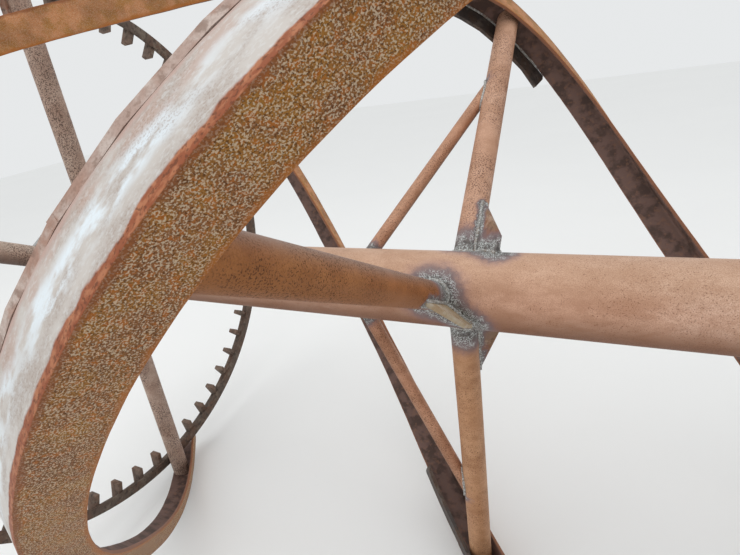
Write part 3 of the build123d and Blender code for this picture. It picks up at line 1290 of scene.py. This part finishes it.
@dataclass
class HelicalBars:
    """The six lengths of rolled angle, with the shallow dents that rolling and rust leave."""

    nodes: dict[str, bpy.types.Object]
    steps: int = 110
    toe: float = 0.0035
    root: float = 0.007
    nose: float = 0.0012
    fine_dent: float = 0.0005
    fine_waves: float = 28.0
    broad_dent: float = 0.0006
    broad_waves: float = 9.0
    inward: float = 0.0004
    flush: float = 0.001
    bead: float = 0.0032
    bead_lift: float = 0.0004
    bead_from_root: float = 0.003
    bead_from_toe: float = 0.006
    plate_steps: int = 13
    plate_step: float = 0.010
    plate_inset: float = 0.001

    def outline(self) -> tuple[list[tuple[float, float]], list[float]]:
        """Outline of the angle's section, from its root round the leg and the web.

        Returns:
            The points, and the girth at each from the outer corner, with one more for the way back.
        """
        steel, leg, web = SIZE.steel, SIZE.leg, SIZE.web
        toe, root, nose = self.toe, self.root, self.nose
        points = arc(steel + root, steel + root, root, 225, 270, 3)
        toe_leg = arc(leg - toe, steel - toe, toe, 90, 0, 3)
        points += flat(points[-1], toe_leg[0], 5) + toe_leg
        edge_leg = arc(leg - nose, nose, nose, 0, -90, 2)
        corner = arc(nose, nose, nose, -90, -180, 2)
        points += edge_leg + flat(edge_leg[-1], corner[0], 8) + corner
        middle_of_corner = len(points) - 2
        edge_web = arc(nose, web - nose, nose, 180, 90, 2)
        points += flat(corner[-1], edge_web[0], 7) + edge_web
        toe_web = arc(steel - toe, web - toe, toe, 90, 0, 3)
        points += toe_web
        back = arc(steel + root, steel + root, root, 180, 225, 3)
        points += flat(toe_web[-1], back[0], 4) + back[:-1]
        girths = [0.0]
        for last, point in zip(points, points[1:] + points[:1]):
            girths.append(girths[-1] + sqrt((point[0] - last[0]) ** 2 + (point[1] - last[1]) ** 2))
        zero = girths[middle_of_corner]
        return points, [girth - zero for girth in girths]

    def dent(self, place: Vector) -> Vector:
        """Shift of a point on the surface, by fine and broad dents that stay inside the solid.

        Args:
            place: Place of the point.

        Returns:
            How far it moves.
        """
        fine = noise.noise_vector(place * self.fine_waves) * self.fine_dent
        broad = noise.noise_vector(place * self.broad_waves) * self.broad_dent
        inward = Vector((0.0, place.y, place.z)).normalized() * -self.inward
        return fine + broad + inward

    def build_bar(self, arm: Arm, bay: End) -> bpy.types.Object:
        """Builds one bar in the place of its solid.

        Args:
            arm: The joint at the middle that it starts from.
            bay: The end that it runs to.

        Returns:
            The bar, cut flush with the hoop's outer face.
        """
        points, girths = self.outline()
        idle = bay is End.IDLE
        past = (SIZE.left - SIZE.wall_gap + SIZE.leg) / SIZE.bay
        low, high = (0.0, 1.0 + past) if idle else (-past, 1.0)
        count = round(self.steps * (high - low))
        shares = [low + (high - low) * step / count for step in range(count + 1)]
        frames = [SIZE.bar_frame(share, bay, arm) for share in shares]
        runs = [0.0]
        for last, frame in zip(frames, frames[1:]):
            runs.append(runs[-1] + (frame.translation - last.translation).length)
        start = 0.0 if idle else -runs[-1]
        maker = sweep(points, girths, frames, [start + run for run in runs])
        wall = SIZE.idle_face - SIZE.wall_gap if idle else SIZE.wall_gap
        cut = bmesh.ops.bisect_plane(
            maker,
            geom=maker.verts[:] + maker.edges[:] + maker.faces[:],
            plane_co=ALONG * wall,
            plane_no=ALONG * bay.value,
            clear_outer=True,
        )
        rim = [item for item in cut["geom_cut"] if isinstance(item, bmesh.types.BMEdge)]
        bmesh.ops.holes_fill(maker, edges=rim, sides=0)
        for vert in maker.verts:
            if abs(vert.co.x - wall) > self.flush:
                vert.co += self.dent(vert.co)
        name = f"bar_{bay.tag}_{arm.tag}"
        piece = make_object(f"rolled_{name}", maker)
        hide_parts(name)
        return ride(piece)

    def build_joint_welds(self, arm: Arm) -> bpy.types.Object:
        """Welds two bars end to end inside the angle, and the side plate along their free edge.

        Args:
            arm: The joint.

        Returns:
            Both beads as one piece.
        """
        joint = SIZE.bar_frame(0.0, End.IDLE, arm)
        ends = (SIZE.steel + self.bead_from_root, SIZE.web - self.bead_from_toe)
        inside = [joint @ Vector((SIZE.steel + self.bead_lift, y, 0.0)) for y in ends]
        edge = Vector((SIZE.leg - self.plate_inset, SIZE.steel + self.plate_inset, 0.0))
        along_plate = []
        for step in range(-self.plate_steps, self.plate_steps + 1):
            bay, joint_share = (End.DRIVE, 1.0) if step < 0 else (End.IDLE, 0.0)
            share = joint_share + step * self.plate_step / SIZE.bay
            along_plate.append(SIZE.bar_frame(share, bay, arm) @ edge)
        made = [
            WeldBead(f"joint_{arm.name}", inside, self.bead).build(),
            WeldBead(f"edge_{arm.name}", along_plate, self.bead).build(),
        ]
        return ride(join(f"bar_joint_welds_{arm.tag}", made))

    def build(self) -> None:
        """Builds and dresses the bars, their side plates and the welds between them."""
        near = RolledAngle("Rolled angle near").material()
        others = RolledAngle("Rolled angle", mottle=0.35, worn=0.8, web="#bf8357").material()
        plate = RustedPlate(
            "Splice plate",
            base="#463e3a",
            rust="#5a4436",
            dark="#2c2623",
            pale="#6c6259",
            pale_share=0.2,
        ).material()
        pale_plate = RustedPlate(
            "Splice plate near",
            base="#ad9488",
            rust="#a07a68",
            dark="#7f6557",
            pale="#c6b9b0",
            pale_share=0.4,
        ).material()
        weld = WeldMetal("Weld metal").material()
        for arm in Arm:
            for bay in End:
                dress(self.build_bar(arm, bay), near if arm is Arm.NEAR else others)
            dress(self.nodes[f"splice_{arm.tag}"], pale_plate if arm is Arm.NEAR else plate)
            dress(self.build_joint_welds(arm), weld)


@dataclass(frozen=True)
class FootWeld:
    """A bead round a pipe's end: its radius, its room outside the pipe, its lift off the skin."""

    bead: float
    room: float
    lift: float

    def lay(
        self,
        name: str,
        pipe: tuple[Vector, Vector, float],
        carrier: tuple[Vector, Vector, float],
    ) -> bpy.types.Object:
        """Lays the bead where a pipe stands on another pipe.

        Args:
            name: Name of the bead.
            pipe: Start, direction and radius of the pipe that ends there.
            carrier: Point on the axis, direction and radius of the pipe that carries it.

        Returns:
            The bead.
        """
        start, way, radius = pipe
        axis, axis_way, skin = carrier
        ring = skin_ring(start, way, radius + self.room, axis, axis_way, skin + self.lift)
        return WeldBead(name, ring, self.bead, True).build()


THICK_FOOT = FootWeld(bead=0.005, room=0.002, lift=0.001)
THIN_FOOT = FootWeld(bead=0.0038, room=0.0015, lift=0.0008)
TUBE = (ORIGIN, ALONG, SIZE.tube)


@dataclass
class MiddleSpider:
    """The three middle spokes with their gussets and braces, and the main tube.

    Each heat is the radius of a weld's dark core and of its fringe.
    """

    nodes: dict[str, bpy.types.Object]
    foot_heat: tuple[float, float] = (0.041, 0.094)
    gusset_heat: tuple[float, float] = (0.027, 0.066)
    riser_heat: tuple[float, float] = (0.009, 0.024)
    brace_heat: tuple[float, float] = (0.022, 0.040)
    knee_heat: tuple[float, float] = (0.016, 0.034)
    knee_reach: float = 1.2
    gusset_end: float = 0.004
    riser_end: float = 0.012
    gusset_half: float = 0.0062
    gusset_bead: float = 0.0044
    gusset_lift: float = 0.0012
    gusset_parts: int = 10
    riser_foot: float = 0.086
    riser_bead: float = 0.0040
    riser_lift: float = 0.0008
    riser_parts: int = 8

    def skew(self, arm: Arm) -> Vector:
        """Direction of a gusset's base, as its bar runs over it."""
        angle = arm.value + MIDDLE[arm].drift
        return ALONG * sin(SIZE.seat_slant) + around(angle) * cos(SIZE.seat_slant)

    def on_tube(self, arm: Arm, reach: float, side: float) -> Vector:
        """Point on the tube under a gusset.

        Args:
            arm: The gusset's spoke.
            reach: Distance from the spoke along the gusset.
            side: Distance to one side of it.

        Returns:
            The point on the tube's skin.
        """
        foot, way = SIZE.spoke_line(arm)
        skew = self.skew(arm)
        start = foot + skew * reach + skew.cross(way).normalized() * side
        return meet(start, way, *TUBE)

    def seams(self) -> tuple[Seam, ...]:
        """Heat of all welds at the middle.

        Returns:
            Five seams for each spoke.
        """
        found = []
        for arm in Arm:
            foot, way = SIZE.spoke_line(arm)
            skew = self.skew(arm)
            base = meet(foot, way, *TUBE)
            outer = self.on_tube(arm, SIZE.gusset_reach - self.gusset_end, 0.0)
            low = base + skew * SIZE.spoke
            high = foot + way * (SIZE.gusset_top - self.riser_end) + skew * SIZE.spoke
            start, head = SIZE.brace_line(arm)
            lean = (head - start).normalized()
            touch = meet(start, lean, *TUBE)
            knee = head - lean * (SIZE.spoke * self.knee_reach)
            found += [
                Seam(base, base, *self.foot_heat),
                Seam(base, outer, *self.gusset_heat),
                Seam(low, high, *self.riser_heat),
                Seam(touch, touch, *self.brace_heat),
                Seam(knee, knee, *self.knee_heat),
            ]
        return tuple(found)

    def build_welds(self, arm: Arm) -> bpy.types.Object:
        """Lays the beads round a spoke's foot, its gusset and its brace.

        Args:
            arm: The spoke.

        Returns:
            All its beads as one piece.
        """
        foot, way = SIZE.spoke_line(arm)
        start, head = SIZE.brace_line(arm)
        lean = (head - start).normalized()
        skew = self.skew(arm)
        out = skew.cross(way).normalized()
        width = SIZE.gusset_reach - SIZE.spoke
        rise = SIZE.gusset_top - self.riser_foot
        made = [THICK_FOOT.lay(f"foot_{arm.name}", (foot, way, SIZE.spoke), TUBE)]
        for side in (-self.gusset_half, self.gusset_half):
            base = []
            for part in range(self.gusset_parts + 1):
                reach = SIZE.spoke + width * part / self.gusset_parts
                base.append(self.on_tube(arm, reach, side) + way * self.gusset_lift)
            made.append(WeldBead(f"gusset_{arm.name}_{side}", base, self.gusset_bead).build())
            riser = []
            for part in range(self.riser_parts + 1):
                height = self.riser_foot + rise * part / self.riser_parts
                skin = foot + way * height + skew * (SIZE.spoke + self.riser_lift)
                riser.append(skin + out * side)
            made.append(WeldBead(f"riser_{arm.name}_{side}", riser, self.riser_bead).build())
        spoke = (foot, way, SIZE.spoke)
        made.append(THIN_FOOT.lay(f"brace_{arm.name}", (start, lean, SIZE.brace), TUBE))
        made.append(THIN_FOOT.lay(f"knee_{arm.name}", (head, -lean, SIZE.brace), spoke))
        return ride(join(f"middle_welds_{arm.tag}", made))

    def finishes(self, seams: tuple[Seam, ...]) -> dict[str, bpy.types.Material]:
        """Builds the finishes of the tube, the spokes, the braces and the gussets.

        Args:
            seams: Heat of the welds that the finishes show.

        Returns:
            The materials, by a short name of what they are for.
        """
        pipes = {
            "tube": RustedPipe(
                "Rusted tube",
                base="#cfa389",
                pale="#e6c7b3",
                deep="#a67659",
                speck="#80543c",
                top="#c8a78b",
                top_share=0.55,
                under="#6c4228",
                specks=0.14,
                speck_mm=2.2,
                roughness=0.42,
                seams=seams,
            ),
            "far": RustedPipe(
                "Rusted far spoke pipe",
                base="#cc9f84",
                pale="#dfb69c",
                deep="#a3714f",
                speck="#553427",
                top="#c6a38c",
                top_share=0.4,
                under="#7a5038",
                specks=0.34,
                speck_mm=2.8,
                seams=seams,
            ),
            "near": RustedPipe(
                "Rusted near spoke pipe",
                base="#a96a38",
                pale="#b97e47",
                deep="#865024",
                speck="#4a2b14",
                top="#8f7b70",
                top_share=0.85,
                under="#915a2a",
                specks=0.3,
                speck_mm=2.2,
                roughness=0.5,
                seams=seams,
            ),
            "low": RustedPipe(
                "Rusted low spoke pipe",
                base="#c9976f",
                pale="#d8ab85",
                deep="#9d6b46",
                speck="#65402c",
                top="#bd967a",
                top_share=0.4,
                under="#744c33",
                specks=0.22,
                speck_mm=2.8,
                seams=seams,
            ),
            "brace": RustedPipe(
                "Rusted brace pipe",
                base="#c69173",
                pale="#d7a789",
                deep="#976749",
                speck="#5b3a29",
                top="#c29a7f",
                top_share=0.4,
                under="#6e4934",
                specks=0.28,
                speck_mm=2.6,
                seams=seams,
            ),
        }
        plates = {
            "gusset": RustedPlate(
                "Gusset plate",
                base="#8e7159",
                rust="#8c5b40",
                dark="#54402f",
                pale="#b49c88",
                pale_share=0.3,
                seams=seams,
            ),
            "near_gusset": RustedPlate(
                "Gusset plate near",
                base="#aea18a",
                rust="#a98d6b",
                dark="#8b7054",
                pale="#c0b6a4",
                pale_share=0.4,
            ),
        }
        return {use: finish.material() for use, finish in (pipes | plates).items()}

    def build(self) -> None:
        """Dresses the spider's solids and lays its welds."""
        finish = self.finishes(self.seams())
        bead = WeldMetal("Weld metal at the middle").material()
        dress(self.nodes["main_tube"], finish["tube"])
        for arm in Arm:
            gusset = finish["near_gusset" if arm is Arm.NEAR else "gusset"]
            dress(self.nodes[f"middle_spoke_{arm.tag}"], finish[arm.tag])
            dress(self.nodes[f"brace_{arm.tag}"], finish["brace"])
            dress(self.nodes[f"gusset_{arm.tag}"], gusset)
            dress(self.build_welds(arm), bead)


@dataclass
class EndSpider:
    """The pipes, hub plate and cleated hoop at one end.

    Cleats are a little out of true, as welded: outwards, round the hoop and in their lean.
    """

    end: End
    nodes: dict[str, bpy.types.Object]
    feet: int = 6
    first_foot: float = 30.0
    foot_heat: tuple[float, float] = (0.036, 0.058)
    face_gap: float = 0.0002
    steps_per_cleat: int = 4
    hoop_edge: float = 0.0012
    cleat_edge: float = 0.0022
    cleat_gap: float = 0.001
    cleat_worn: float = 0.006
    cleat_seed: int = 5
    cleat_out: tuple[float, float] = (-0.0005, 0.002)
    cleat_round: float = 0.0008
    cleat_lean: float = 0.03
    bead: float = 0.0045
    bead_sink: float = 0.0022
    hub_side: float = 0.009
    hub_start: float = 0.098
    hub_step: float = 0.012
    hub_parts: int = 10
    hoop_side: float = 0.010
    hoop_room: float = 0.004
    hoop_parts: int = 4

    @property
    def tag(self) -> str:
        """Name of the end in the nodes' names."""
        return self.end.tag

    @property
    def place(self) -> float:
        """Place of the spider along the reel."""
        return SIZE.left if self.end is End.DRIVE else SIZE.right

    @property
    def seat(self) -> float:
        """Place of the face that the pipes lie against."""
        return self.place + self.end.value * (SIZE.spoke + self.face_gap)

    def foot_angle(self, step: int) -> float:
        """Angle of one of the spider's feet, in degrees."""
        return self.first_foot + 360 / self.feet * step

    def build_hoop(self) -> bpy.types.Object:
        """Builds the hoop: an angle rolled into a ring, with a cleat welded in at each pitch.

        Returns:
            The hoop with its cleats, in the place of its solid.
        """
        outer, inner = SIZE.hoop, SIZE.hoop - SIZE.hoop_steel
        web = self.seat + self.end.value * SIZE.hoop_steel
        rim = self.seat + self.end.value * SIZE.hoop_width
        flange = outer - SIZE.hoop_flange
        section = [
            (self.seat, outer),
            (rim, outer),
            (rim, inner),
            (web, inner),
            (web, flange),
            (self.seat, flange),
        ]
        maker = spin_section(section, SIZE.cleats * self.steps_per_cleat, 1e-5)
        sharp = [edge for edge in maker.edges if edge.calc_face_angle(0.0) > SHARP]
        wear_edges(maker, sharp, self.hoop_edge, 2)
        chance = random.Random(self.end.value + self.cleat_seed)
        for index in range(SIZE.cleats):
            self._add_cleat(maker, chance, 2 * pi * index / SIZE.cleats)
        piece = make_object(f"cleated_{self.tag}_hoop", maker)
        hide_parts(f"{self.tag}_hoop")
        return ride(piece)

    def _add_cleat(self, maker: bmesh.types.BMesh, chance: random.Random, angle: float) -> None:
        """Adds one cleat with worn edges.

        Args:
            maker: Bmesh of the hoop, which takes it.
            chance: Source of the three draws that put it out of true.
            angle: Its angle round the hoop in radians.
        """
        width = SIZE.hoop_width - SIZE.hoop_steel
        depth = SIZE.cleat_depth - self.cleat_worn
        made = bmesh.ops.create_cube(maker, size=1.0)["verts"]
        scale = Matrix.Diagonal((width - self.cleat_gap, depth, SIZE.cleat_steel, 1.0))
        bmesh.ops.transform(maker, matrix=scale, verts=made)
        faces = list({face for vert in made for face in vert.link_faces})
        edges = list({edge for face in faces for edge in face.edges})
        worn = wear_edges(maker, edges, self.cleat_edge, 2)
        verts = list({vert for face in worn for vert in face.verts})
        middle = SIZE.hoop - SIZE.hoop_steel / 2 - SIZE.cleat_depth / 2
        middle += chance.uniform(*self.cleat_out)
        off = chance.uniform(-self.cleat_round, self.cleat_round)
        turn = Matrix.Rotation(angle + off, 4, "X")
        lean = Matrix.Rotation(chance.uniform(-self.cleat_lean, self.cleat_lean), 4, "X")
        x = self.seat + self.end.value * (SIZE.hoop_steel + width / 2)
        where = Matrix.Translation((x, 0, 0)) @ turn @ Matrix.Translation((0, middle, 0)) @ lean
        bmesh.ops.transform(maker, matrix=where, verts=verts)

    def seams(self) -> tuple[Seam, ...]:
        """Heat of the welds at the spider's feet.

        Returns:
            One seam for each foot.
        """
        found = []
        for step in range(self.feet):
            base = ALONG * self.place + radial(self.foot_angle(step)) * SIZE.tube
            found.append(Seam(base, base, *self.foot_heat))
        return tuple(found)

    def _lay_beside(
        self, name: str, angle: float, side: float, heights: Sequence[float]
    ) -> bpy.types.Object:
        """Lays a straight bead beside a pipe, where it lies against a plate.

        Args:
            name: Name of the bead.
            angle: Angle of the pipe in degrees.
            side: Distance to one side of it.
            heights: Distances from the reel's axis along the bead.

        Returns:
            The bead.
        """
        face = self.end.value * (SIZE.spoke - self.bead_sink)
        offset = around(angle) * side + ALONG * face
        line = [ALONG * self.place + offset + radial(angle) * height for height in heights]
        return WeldBead(name, line, self.bead).build()

    def build_welds(self) -> bpy.types.Object:
        """Lays the beads at the feet, at the hub plate and at the hoop.

        Returns:
            All beads of the end as one piece.
        """
        low, high = SIZE.hoop - SIZE.hoop_flange, SIZE.hoop - self.hoop_room
        at_hub = [self.hub_start + self.hub_step * part for part in range(self.hub_parts + 1)]
        at_hoop = [
            low + (high - low) * part / self.hoop_parts for part in range(self.hoop_parts + 1)
        ]
        made = []
        for step in range(self.feet):
            angle = self.foot_angle(step)
            pipe = (ALONG * self.place, radial(angle), SIZE.spoke)
            made.append(THICK_FOOT.lay(f"foot_{self.tag}_{step}", pipe, TUBE))
            for hand in (-1, 1):
                name = f"hub_{self.tag}_{step}_{hand}"
                made.append(self._lay_beside(name, angle, hand * self.hub_side, at_hub))
            if step % 2:
                for hand in (-1, 1):
                    name = f"hoop_{self.tag}_{step}_{hand}"
                    made.append(self._lay_beside(name, angle, hand * self.hoop_side, at_hoop))
        skin = SIZE.tube + THICK_FOOT.lift
        turns = [360 / ROUND_STEPS * step for step in range(ROUND_STEPS)]
        round_tube = [ALONG * self.seat + radial(turn) * skin for turn in turns]
        made.append(WeldBead(f"collar_{self.tag}", round_tube, THICK_FOOT.bead, True).build())
        return ride(join(f"{self.tag}_spider_welds", made))

    def build(self) -> None:
        """Dresses the end's solids, and builds its hoop and welds."""
        seams = self.seams()
        pipe = RustedPipe(
            f"Burnished pipe {self.tag}",
            base="#b39684",
            pale="#d3baa9",
            deep="#836251",
            speck="#43312a",
            top="#c6b09d",
            top_share=0.6,
            under="#574740",
            specks=0.40,
            speck_mm=3.4,
            burnish=0.6,
            roughness=0.4,
            seams=seams,
        ).material()
        hoop = HoopSteel(f"Hoop steel {self.tag}").material()
        hub = RustedPlate(
            f"Hub plate {self.tag}",
            base="#a9aaa8",
            rust="#7f6350",
            dark="#51443c",
            pale="#c2c6c8",
            pale_share=0.4,
            roughness=0.5,
            seams=seams,
        ).material()
        ears = RustedPlate(
            f"Ear plate {self.tag}",
            base="#8a6f60",
            rust="#8f5f46",
            dark="#42332d",
            pale="#b1a092",
            pale_share=0.2,
        ).material()
        dress(self.build_hoop(), hoop)
        dress(self.nodes[f"{self.tag}_hub_plate"], hub)
        dress(self.nodes[f"{self.tag}_arm_ears"], ears)
        for arm in Arm:
            dress(self.nodes[f"{self.tag}_spoke_{arm.tag}"], pipe)
            dress(self.nodes[f"{self.tag}_ring_arm_{arm.tag}"], pipe)
        dress(self.build_welds(), WeldMetal(f"Weld metal {self.tag}").material())


@dataclass(frozen=True)
class Disc:
    """A round or six-sided disc on a bolt: how far its middle stands off the flange, and its size."""

    off: float
    radius: float
    length: float
    sides: int


@dataclass
class FlangeBearing:
    """Stub shaft, bearing and bolts at one end.

    The seal's section holds places along the reel from the boss's face, and heights off the collar.
    """

    end: End
    nodes: dict[str, bpy.types.Object]
    flange: float = 0.022
    boss: float = 0.038
    collar: float = 0.048
    spacing: float = 0.159
    washer: Disc = Disc(0.0017, 0.0185, 0.003, 32)
    head: Disc = Disc(0.0097, 0.0173, 0.013, 6)
    stud: Disc = Disc(0.0177, 0.0100, 0.010, 20)
    bolt_edge: float = 0.0007
    nut_corner: float = 50.0
    seal: tuple[tuple[float, float], ...] = (
        (-0.006, 0.0012),
        (0.0015, 0.0012),
        (0.003, 0.004),
        (0.0035, 0.010),
        (0.001, 0.016),
        (0.0002, 0.016),
    )

    @property
    def tag(self) -> str:
        """Name of the end in the nodes' names."""
        return self.end.tag

    @property
    def face(self) -> float:
        """Place of the mounting face."""
        return 0.0 if self.end is End.DRIVE else SIZE.idle_face

    def build_bolts(self) -> bpy.types.Object:
        """Builds the four bolt heads with their washers and the studs' ends.

        Returns:
            The bolts as one piece.
        """
        maker = bmesh.new()
        half = self.spacing / 2
        top = self.face + self.end.value * self.flange
        for y in (-half, half):
            for z in (-half, half):
                for disc in (self.washer, self.head, self.stud):
                    place = (top + self.end.value * disc.off, y, z)
                    bmesh.ops.create_cone(
                        maker,
                        cap_ends=True,
                        segments=disc.sides,
                        radius1=disc.radius,
                        radius2=disc.radius,
                        depth=disc.length,
                        matrix=Matrix.Translation(place) @ Matrix.Rotation(pi / 2, 4, "Y"),
                    )
        corner = radians(self.nut_corner)
        sharp = [edge for edge in maker.edges if edge.calc_face_angle(0.0) > corner]
        wear_edges(maker, sharp, self.bolt_edge, 1)
        return ride(make_object(f"{self.tag}_bearing_bolts", maker), "bearings")

    def build_seal(self) -> bpy.types.Object:
        """Builds the rubber seal between the housing and the collar.

        Returns:
            The seal.
        """
        out = self.end.value
        x = self.face + out * (self.flange + self.boss)
        section = [(x + out * along, self.collar + height) for along, height in self.seal]
        maker = spin_section(section, ROUND_STEPS, 1e-6)
        return ride(make_object(f"{self.tag}_bearing_seal", maker), "bearings")

    def build(self) -> None:
        """Dresses the bearing and the shaft."""
        iron = CastIron(f"Cast iron {self.tag}").material()
        steel = TurnedSteel(f"Turned steel {self.tag}").material()
        dress(self.nodes[f"{self.tag}_bearing_housing"], iron)
        dress(self.nodes[f"{self.tag}_stub_shaft"], steel)
        dress(self.nodes[f"{self.tag}_bearing_collar"], steel)
        dress(self.build_bolts(), TurnedSteel(f"Plated bolt steel {self.tag}").material())
        dress(self.build_seal(), Rubber(f"Nitrile rubber {self.tag}").material())


@dataclass(frozen=True)
class Lamp:
    """A square soft lamp that stands at a place and points at another."""

    name: str
    place: tuple[float, float, float]
    aim: tuple[float, float, float]
    size: float
    watts: float

    def build(self) -> None:
        """Adds the lamp to the scene."""
        light = bpy.data.lights.new(self.name, "AREA")
        light.size = self.size
        light.energy = self.watts
        holder = bpy.data.objects.new(self.name, light)
        holder.location = self.place
        way = Vector(self.aim) - Vector(self.place)
        holder.rotation_euler = way.to_track_quat("-Z", "Y").to_euler()
        bpy.context.scene.collection.objects.link(holder)


@dataclass
class Studio:
    """Pale floor, soft light and the camera.

    The camera was fitted to the photograph, so its three directions are those of the picture's
    right side, its lower side and the line of sight.
    """

    floor_level: float = -0.93
    floor_middle: float = 1.27
    floor_half: float = 14.0
    sky_strength: float = 1.02
    seen_strength: float = 0.95
    overhead: Lamp = Lamp("overhead", (0.6, -0.6, 3.6), (1.3, 0.1, 0.0), 4.0, 52.0)
    side: Lamp = Lamp("side", (-2.4, -3.0, 1.8), (1.0, 0.0, 0.0), 2.6, 24.0)
    stand: tuple[float, float, float] = (1.52521, -0.97833, 0.49993)
    right: tuple[float, float, float] = (0.87383135, 0.45895259, -0.16056552)
    down: tuple[float, float, float] = (0.04261763, -0.40124922, -0.91497694)
    ahead: tuple[float, float, float] = (-0.48435783, 0.79269262, -0.37018362)
    sensor_mm: float = 36.0
    lens_mm: float = 24.0408
    shift: tuple[float, float] = (0.06594, -0.01714)
    nearest: float = 0.02

    def build_floor(self) -> None:
        """Builds the floor."""
        maker = bmesh.new()
        bmesh.ops.create_grid(maker, x_segments=1, y_segments=1, size=self.floor_half)
        place = (self.floor_middle, 0.0, self.floor_level)
        bmesh.ops.translate(maker, verts=maker.verts, vec=place)
        floor = make_object("floor", maker)
        coat = Coat("Matt studio board", "#efefed", 0.95, gloss=0.1)
        coat.cover(coat.blotches(900, 0.5, 0.2, seed=1.0), "#ededeb", 0.5)
        dress(floor, coat.lay())

    def build_light(self) -> None:
        """Sets a pale world, a little dimmer where it is seen, and two large soft lamps."""
        world = bpy.data.worlds.new("Pale sky")
        bpy.context.scene.world = world
        world.use_nodes = True
        tree = world.node_tree
        tree.nodes.clear()
        paths = add_node(tree, "ShaderNodeLightPath")
        seen = add_node(
            tree,
            "ShaderNodeMath",
            {"operation": "MAXIMUM"},
            {0: paths.outputs["Is Camera Ray"], 1: paths.outputs["Is Glossy Ray"]},
        )
        sky = add_node(
            tree, "ShaderNodeBackground", inputs={0: linear("#eef0f2"), 1: self.sky_strength}
        )
        backdrop = add_node(
            tree, "ShaderNodeBackground", inputs={0: linear("#eceeef"), 1: self.seen_strength}
        )
        mix = add_node(
            tree,
            "ShaderNodeMixShader",
            inputs={0: seen.outputs[0], 1: sky.outputs[0], 2: backdrop.outputs[0]},
        )
        add_node(tree, "ShaderNodeOutputWorld", inputs={0: mix.outputs[0]})
        self.overhead.build()
        self.side.build()

    def build_camera(self) -> None:
        """Stands the camera where the photograph was taken from."""
        camera = bpy.data.cameras.new("camera")
        camera.sensor_width = self.sensor_mm
        camera.lens = self.lens_mm
        camera.shift_x, camera.shift_y = self.shift
        camera.clip_start = self.nearest
        holder = bpy.data.objects.new("camera", camera)
        right, down, ahead = Vector(self.right), Vector(self.down), Vector(self.ahead)
        pose = Matrix((right, -down, -ahead)).transposed().to_4x4()
        pose.translation = Vector(self.stand)
        holder.matrix_world = pose
        bpy.context.scene.collection.objects.link(holder)
        bpy.context.scene.camera = holder

    def build(self) -> None:
        """Builds the floor, the light and the camera."""
        self.build_floor()
        self.build_light()
        self.build_camera()
        bpy.context.scene.view_settings.view_transform = "Standard"


def main() -> None:
    """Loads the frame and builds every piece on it."""
    logging.basicConfig(level=logging.INFO, format="%(name)s: %(message)s")
    noise.seed_set(NOISE_SEED)
    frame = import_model()
    nodes = frame["nodes"]
    HelicalBars(nodes).build()
    MiddleSpider(nodes).build()
    for end in End:
        EndSpider(end, nodes).build()
        FlangeBearing(end, nodes).build()
    Studio().build()


if __name__ == "__main__":
    main()
